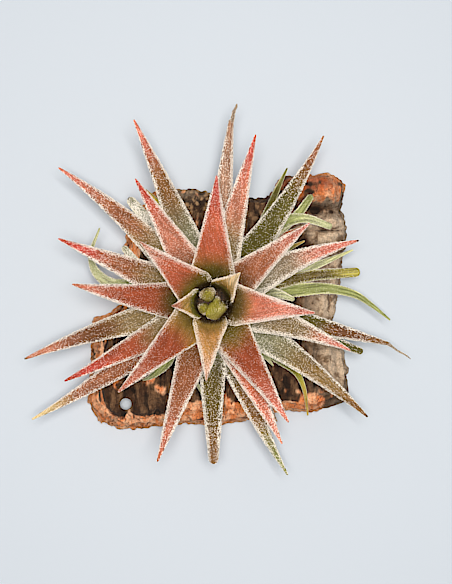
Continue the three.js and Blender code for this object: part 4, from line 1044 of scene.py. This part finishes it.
def corkMaterial():
    v = {
        # the first colour is painted shade for the bottoms of the furrows and cracks
        "furrowShade": "#1e130c", "brown": "#412919", "ridge": "#78583d", "crumb": "#ad8862", "gap": "#382517",
        "fresh": "#e6874d", "freshPale": "#f8c096", "freshDark": "#7c4023", "rust": "#9c4626",
        "grey": "#d2b99e", "greyDark": "#866c53",
        # sizes of the noises that mottle it, and of the crumbs
        "grit": 0.5, "patch": 2.0, "fleck": 0.9, "lumps": 3.0, "crumbSize": 1.5, "drawn": (1, 0.3, 1),
        # from and to which value of its noise each colour turns into the next
        "ridgeTurn": (0.42, 0.68), "greyTurn": (0.36, 0.56), "freshTurn": (0.4, 0.65),
        "fleckTurn": (0.56, 0.66), "crumbTurn": (0.62, 0.2), "crumbSmooth": 0.4,
        "fleckMost": 0.85, "rustMost": 0.8,
        "gritTurn": (0.3, 0.7), "gritShade": (0.72, 1.2), "greyShallower": -0.22, "crackTurn": (0.4, 0.9),
        "crackMost": 0.85, "bump": 0.3, "bumpStrength": 0.8, "rough": 0.92, "ior": 1.4,
    }
    material, tree = newMaterial("virgin cork bark")
    position = addNode(tree, "ShaderNodeAttribute", {"attribute_name": "grain"}).outputs["Vector"]
    deep, fresh, weathered, rusty, crumbly = (
        addNode(tree, "ShaderNodeAttribute", {"attribute_name": mask}).outputs["Fac"]
        for mask in ("deep", "fresh", "weathered", "rusty", "crumbly"))
    streak = addNode(tree, "ShaderNodeVectorMath", {"operation": "MULTIPLY"}, {0: position, 1: v["drawn"]})
    grit, patch, fleck, cloudy = (
        addNode(tree, "ShaderNodeTexNoise", {}, {
            "Vector": vector, "Scale": 1 / v[size], "Detail": detail, "Roughness": rough})
        for vector, size, detail, rough in (
            (position, "grit", 2.0, 0.6), (streak, "patch", 4.0, 0.65), (streak, "fleck", 3.0, 0.7),
            (position, "lumps", 4.0, 0.6)))
    # round crumbs: painted highlight on their tops and painted shade between them
    crumbs = addNode(tree, "ShaderNodeTexVoronoi", {"feature": "SMOOTH_F1"}, {
        "Vector": position, "Scale": 1 / v["crumbSize"], "Smoothness": v["crumbSmooth"]})
    ridgeMask, greyMask, freshMask, flecks, crumbTop = (
        addNode(tree, "ShaderNodeMapRange", eased, {
            "Value": noise, "From Min": v[turn][0], "From Max": v[turn][1], "To Max": most})
        for noise, turn, most in (
            (patch, "ridgeTurn", 1), (cloudy, "greyTurn", 1), (patch, "freshTurn", 1),
            (fleck, "fleckTurn", v["fleckMost"]), (crumbs.outputs["Distance"], "crumbTurn", 1)))
    # the last pair of colours is the crumbs' brown, in painted shade in their gaps and painted highlight on
    # their tops
    brown, grey, orange, crumbsLitAndShaded = (
        addNode(tree, "ShaderNodeMix", colourMix, {
            mixFactor: mask, mixA: hexColour(v[dark]), mixB: hexColour(v[light])})
        for mask, dark, light in (
            (ridgeMask, "brown", "ridge"), (greyMask, "greyDark", "grey"), (freshMask, "fresh", "freshPale"),
            (crumbTop, "gap", "crumb")))
    # the old outside: brown ridges, then crumbs, then grey where rain reached it
    crumbled = addNode(tree, "ShaderNodeMix", colourMix, {
        mixFactor: crumbly, mixA: brown, mixB: crumbsLitAndShaded})
    outer = addNode(tree, "ShaderNodeMix", colourMix, {
        mixFactor: weathered, mixA: crumbled, mixB: grey})
    # the fresh cork: orange, rusty in places, with dark flecks
    rust = addNode(tree, "ShaderNodeMath", {"operation": "MULTIPLY"}, {0: rusty, 1: v["rustMost"]})
    rusted = addNode(tree, "ShaderNodeMix", colourMix, {
        mixFactor: rust, mixA: orange, mixB: hexColour(v["rust"])})
    flecked = addNode(tree, "ShaderNodeMix", colourMix, {
        mixFactor: flecks, mixA: rusted, mixB: hexColour(v["freshDark"])})
    body = addNode(tree, "ShaderNodeMix", colourMix, {mixFactor: fresh, mixA: outer, mixB: flecked})
    gritShade = addNode(tree, "ShaderNodeMapRange", {}, {
        "Value": grit, "From Min": v["gritTurn"][0], "From Max": v["gritTurn"][1],
        "To Min": v["gritShade"][0], "To Max": v["gritShade"][1]})
    gritty = addNode(tree, "ShaderNodeVectorMath", {"operation": "SCALE"}, {0: body, "Scale": gritShade})
    # painted shade in the furrows, cracks and between the crumbs, darker the deeper they lie, and lighter on
    # the grey lumps
    greyShallower = addNode(tree, "ShaderNodeMath", {"operation": "MULTIPLY_ADD"}, {
        0: weathered, 1: v["greyShallower"], 2: deep})
    furrowShadeMask = addNode(tree, "ShaderNodeMapRange", eased, {
        "Value": greyShallower, "From Min": v["crackTurn"][0], "From Max": v["crackTurn"][1],
        "To Max": v["crackMost"]})
    furrowShaded = addNode(tree, "ShaderNodeMix", colourMix, {
        mixFactor: furrowShadeMask, mixA: gritty, mixB: hexColour(v["furrowShade"])})
    rubble = addNode(tree, "ShaderNodeMath", {"operation": "MULTIPLY_ADD"}, {
        0: crumbTop, 1: crumbly, 2: grit})
    height = addNode(tree, "ShaderNodeMath", {"operation": "ADD"}, {0: rubble, 1: fleck})
    bump = addNode(tree, "ShaderNodeBump", {}, {
        "Height": height, "Strength": v["bumpStrength"], "Distance": v["bump"] * mm})
    surface = addNode(tree, "ShaderNodeBsdfPrincipled", {}, {
        "Base Color": furrowShaded, "Roughness": v["rough"], "Normal": bump, "IOR": v["ior"]})
    addNode(tree, "ShaderNodeOutputMaterial", {}, {"Surface": surface})
    return material


points, faces, values = buildBark()
bark = makeMesh("corkSlab", points, faces, [corkMaterial()], values)
print("bark shaped,", len(bark.data.polygons), "faces")

# the hole, drilled along the line of sight with a leaning cylinder
hole = barkValues["hole"]
turn = np.linspace(0, 2 * math.pi, hole["sides"], endpoint=False)
drillPoints = []
for level in hole["drill"]:
    down = hole["level"] - level
    drillPoints.append(np.stack([
        hole["x"] + hole["lean"][0] * down + hole["diameter"] / 2 * np.cos(turn),
        hole["y"] + hole["lean"][1] * down + hole["diameter"] / 2 * np.sin(turn),
        np.full(hole["sides"], level)], axis=1))
ring = np.arange(hole["sides"])
after = (ring + 1) % hole["sides"]
drill = makeMesh("drill", np.concatenate(drillPoints), [
    np.stack([ring, after, after + hole["sides"], ring + hole["sides"]], axis=1),
    ring[None, ::-1], ring[None] + hole["sides"]], [])
cut = bark.modifiers.new("drilled hole", "BOOLEAN")
cut.operation = "DIFFERENCE"
cut.object = drill
cut.solver = "MANIFOLD"
drilled = bpy.data.meshes.new_from_object(bark.evaluated_get(bpy.context.evaluated_depsgraph_get()))
bark.modifiers.clear()
bark.data = drilled
bpy.data.objects.remove(drill)
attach(bark, "root")
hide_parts("cork_bark")
print("bark drilled,", len(bark.data.polygons), "faces")

# Stem: a short woody core under the leaves, wrapped in the brown papery bases of leaves long gone
stemValues = {
    "rows": 90, "points": 96, "profileRows": 12, "thinFull": 2,  # no roughness where it closes at the axis
    "sheath": 0.35, "sheathStep": 1.1, "sheathOut": 0.4,
    "sway": (0.8, 3, 0.7), "ribs": (0.12, 23),
}
glueValues = {
    "profile": [(0, 11), (8.2, 11), (8.4, 16), (7.0, 17.8), (4.3, 19), (0, 19)],  # radius, height
    "bulge": (0.45, 5, 0.6, 2, 1.3), "inset": 0.3, "ripple": (0.15, 11),
}


def turnedPiece(name, profile, rough, material):
    # profile rows of (radius, height) turned round the Z axis, with rough(turn, height) added to the radius
    v = stemValues
    profile = np.array(profile, dtype=float)
    count = v["points"]
    steps = np.concatenate([[0], np.cumsum(np.linalg.norm(np.diff(profile, axis=0), axis=1))])
    s = np.linspace(0, steps[-1], v["rows"])
    radius, height = (np.interp(s, steps, profile[:, axis])[:, None] for axis in (0, 1))
    turn = np.linspace(0, 2 * math.pi, count, endpoint=False)
    r = radius + rough(turn[None, :], height) * np.minimum(1, radius / v["thinFull"])
    rings = np.stack([r * np.cos(turn), r * np.sin(turn), np.repeat(height, count, axis=1)], axis=2)[1:-1]
    rows = len(rings)
    points = np.concatenate([rings.reshape(-1, 3), [[0, 0, profile[0, 1]], [0, 0, profile[-1, 1]]]])
    ring = np.arange(count)
    after = (ring + 1) % count
    last = (rows - 1) * count
    low = np.stack([after, ring, np.full(count, rows * count)], axis=1)
    high = np.stack([ring + last, after + last, np.full(count, rows * count + 1)], axis=1)
    return makeMesh(name, points, [gridFaces(rows, count)[:, ::-1], low, high], [material], {"grain": points})


def stemMaterial():
    # the brown of the dry sheaths, darkened almost to black as painted shade in the well between the buds
    v = {"dark": "#20150d", "light": "#543d28", "fibre": 0.5, "drawn": (1, 1, 0.15), "turn": (0.35, 0.65),
         "bump": 0.2, "bumpStrength": 0.6, "rough": 0.85}
    material, tree = newMaterial("dry leaf-base sheaths in painted shade")
    grain = addNode(tree, "ShaderNodeAttribute", {"attribute_name": "grain"}).outputs["Vector"]
    drawn = addNode(tree, "ShaderNodeVectorMath", {"operation": "MULTIPLY"}, {0: grain, 1: v["drawn"]})
    fibre = addNode(tree, "ShaderNodeTexNoise", {}, {"Vector": drawn, "Scale": 1 / v["fibre"], "Detail": 3.0})
    spread = addNode(tree, "ShaderNodeMapRange", eased, {
        "Value": fibre, "From Min": v["turn"][0], "From Max": v["turn"][1]})
    colour = addNode(tree, "ShaderNodeMix", colourMix, {
        mixFactor: spread, mixA: hexColour(v["dark"]), mixB: hexColour(v["light"])})
    bump = addNode(tree, "ShaderNodeBump", {}, {
        "Height": fibre, "Strength": v["bumpStrength"], "Distance": v["bump"] * mm})
    surface = addNode(tree, "ShaderNodeBsdfPrincipled", {}, {
        "Base Color": colour, "Roughness": v["rough"], "Normal": bump})
    addNode(tree, "ShaderNodeOutputMaterial", {}, {"Surface": surface})
    return material


def sheathRough(turn, height):  # the edges of the sheaths go round it in steps
    v = stemValues
    much, often, rise = v["sway"]
    step = height / v["sheathStep"] + much * np.sin(turn * often + height * rise)
    depth, ribs = v["ribs"]
    return v["sheath"] * (v["sheathOut"] - (step - np.floor(step))) + depth * np.sin(turn * ribs + height)


heights = np.linspace(plantValues["stemFoot"], plantValues["stemTop"], stemValues["profileRows"])
stemProfile = [(0, heights[0])] + [(float(stemRadius(h)), h) for h in heights] + [
    (0, heights[-1] + plantValues["stemDome"])]
stem = turnedPiece("stemCore", stemProfile, sheathRough, stemMaterial())
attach(stem, "root")
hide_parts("stem")


# Glue: a dab of clear-amber plant glue, squeezed out round the foot and set in a low uneven skirt
def glueMaterial():
    v = {"clear": "#d8cba6", "cloudy": "#c2ad7c", "cloud": 3.0, "rough": 0.3, "ior": 1.48, "glow": 0.3,
         "glowDepth": 1.5}
    material, tree = newMaterial("set plant glue")
    grain = addNode(tree, "ShaderNodeAttribute", {"attribute_name": "grain"}).outputs["Vector"]
    cloud = addNode(tree, "ShaderNodeTexNoise", {}, {"Vector": grain, "Scale": 1 / v["cloud"], "Detail": 2.0})
    colour = addNode(tree, "ShaderNodeMix", colourMix, {
        mixFactor: cloud, mixA: hexColour(v["clear"]), mixB: hexColour(v["cloudy"])})
    surface = addNode(tree, "ShaderNodeBsdfPrincipled", {}, {
        "Base Color": colour, "Roughness": v["rough"], "IOR": v["ior"], "Subsurface Weight": v["glow"],
        "Subsurface Scale": v["glowDepth"] * mm})
    addNode(tree, "ShaderNodeOutputMaterial", {}, {"Surface": surface})
    return material


def glueRough(turn, height):
    depth, often, shift, slow, slowShift = glueValues["bulge"]
    bulge = depth * np.sin(turn * often + shift) * np.sin(turn * slow + slowShift)
    fine, ripples = glueValues["ripple"]
    return bulge - glueValues["inset"] + fine * np.sin(turn * ripples + height)


glue = turnedPiece("glueDab", glueValues["profile"], glueRough, glueMaterial())
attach(glue, "root")
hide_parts("fixing_glue")
print("stem and glue made")

# Floor and light: a pale blue-grey sheet under wide soft studio light
stageValues = {"floor": "#d0d9e4", "rough": 0.95, "specular": 0.1, "size": 3000, "world": "#e6edf6",
               "worldStrength": 0.18, "sharpen": 0.08}
floorMaterial, tree = newMaterial("pale matt floor")
floorSurface = addNode(tree, "ShaderNodeBsdfPrincipled", {}, {
    "Base Color": hexColour(stageValues["floor"]), "Roughness": stageValues["rough"],
    "Specular IOR Level": stageValues["specular"]})
addNode(tree, "ShaderNodeOutputMaterial", {}, {"Surface": floorSurface})
half = stageValues["size"] / 2
floor = makeMesh("floor", np.array([(-half, -half, 0), (half, -half, 0), (half, half, 0), (-half, half, 0)]),
                 [np.array([[0, 1, 2, 3]])], [floorMaterial])

world = bpy.data.worlds.new("studio")
world.use_nodes = True
background = world.node_tree.nodes["Background"]
background.inputs["Color"].default_value = hexColour(stageValues["world"])
background.inputs["Strength"].default_value = stageValues["worldStrength"]
bpy.context.scene.world = world
# name, place in metres, size in metres, power in watts, colour
lightRows = [
    ("key", (-0.12, 0.16, 0.60), 0.5, 0.46, "#fff8ee"),
    # over the camera, so it lights what shows in the hole
    ("front", (0.0104, 0.0102, 0.5), 0.065, 2.34, "#fff9f0"),
    ("fill", (0.5, -0.30, 0.8), 0.9, 0.4, "#eef3ff"),
]
for name, place, size, power, colour in lightRows:
    lamp = bpy.data.lights.new(name, "AREA")
    lamp.size = size
    lamp.energy = power
    lamp.color = hexColour(colour)[:3]
    light = bpy.data.objects.new(name, lamp)
    light.location = place
    light.visible_camera = False
    light.rotation_mode = "QUATERNION"
    light.rotation_quaternion = (-Vector(place)).to_track_quat("-Z", "Y")
    bpy.context.scene.collection.objects.link(light)
bpy.context.scene.view_settings.view_transform = "Standard"
# the photograph was sharpened, so the picture is too
bpy.context.scene.use_nodes = True
tree = bpy.context.scene.node_tree
tree.nodes.clear()
picture = addNode(tree, "CompositorNodeRLayers")
crisp = addNode(tree, "CompositorNodeFilter", {"filter_type": "SHARPEN"}, {
    "Fac": stageValues["sharpen"], "Image": picture.outputs["Image"]})
addNode(tree, "CompositorNodeComposite", {}, {"Image": crisp.outputs["Image"]})
print("floor and lights placed")
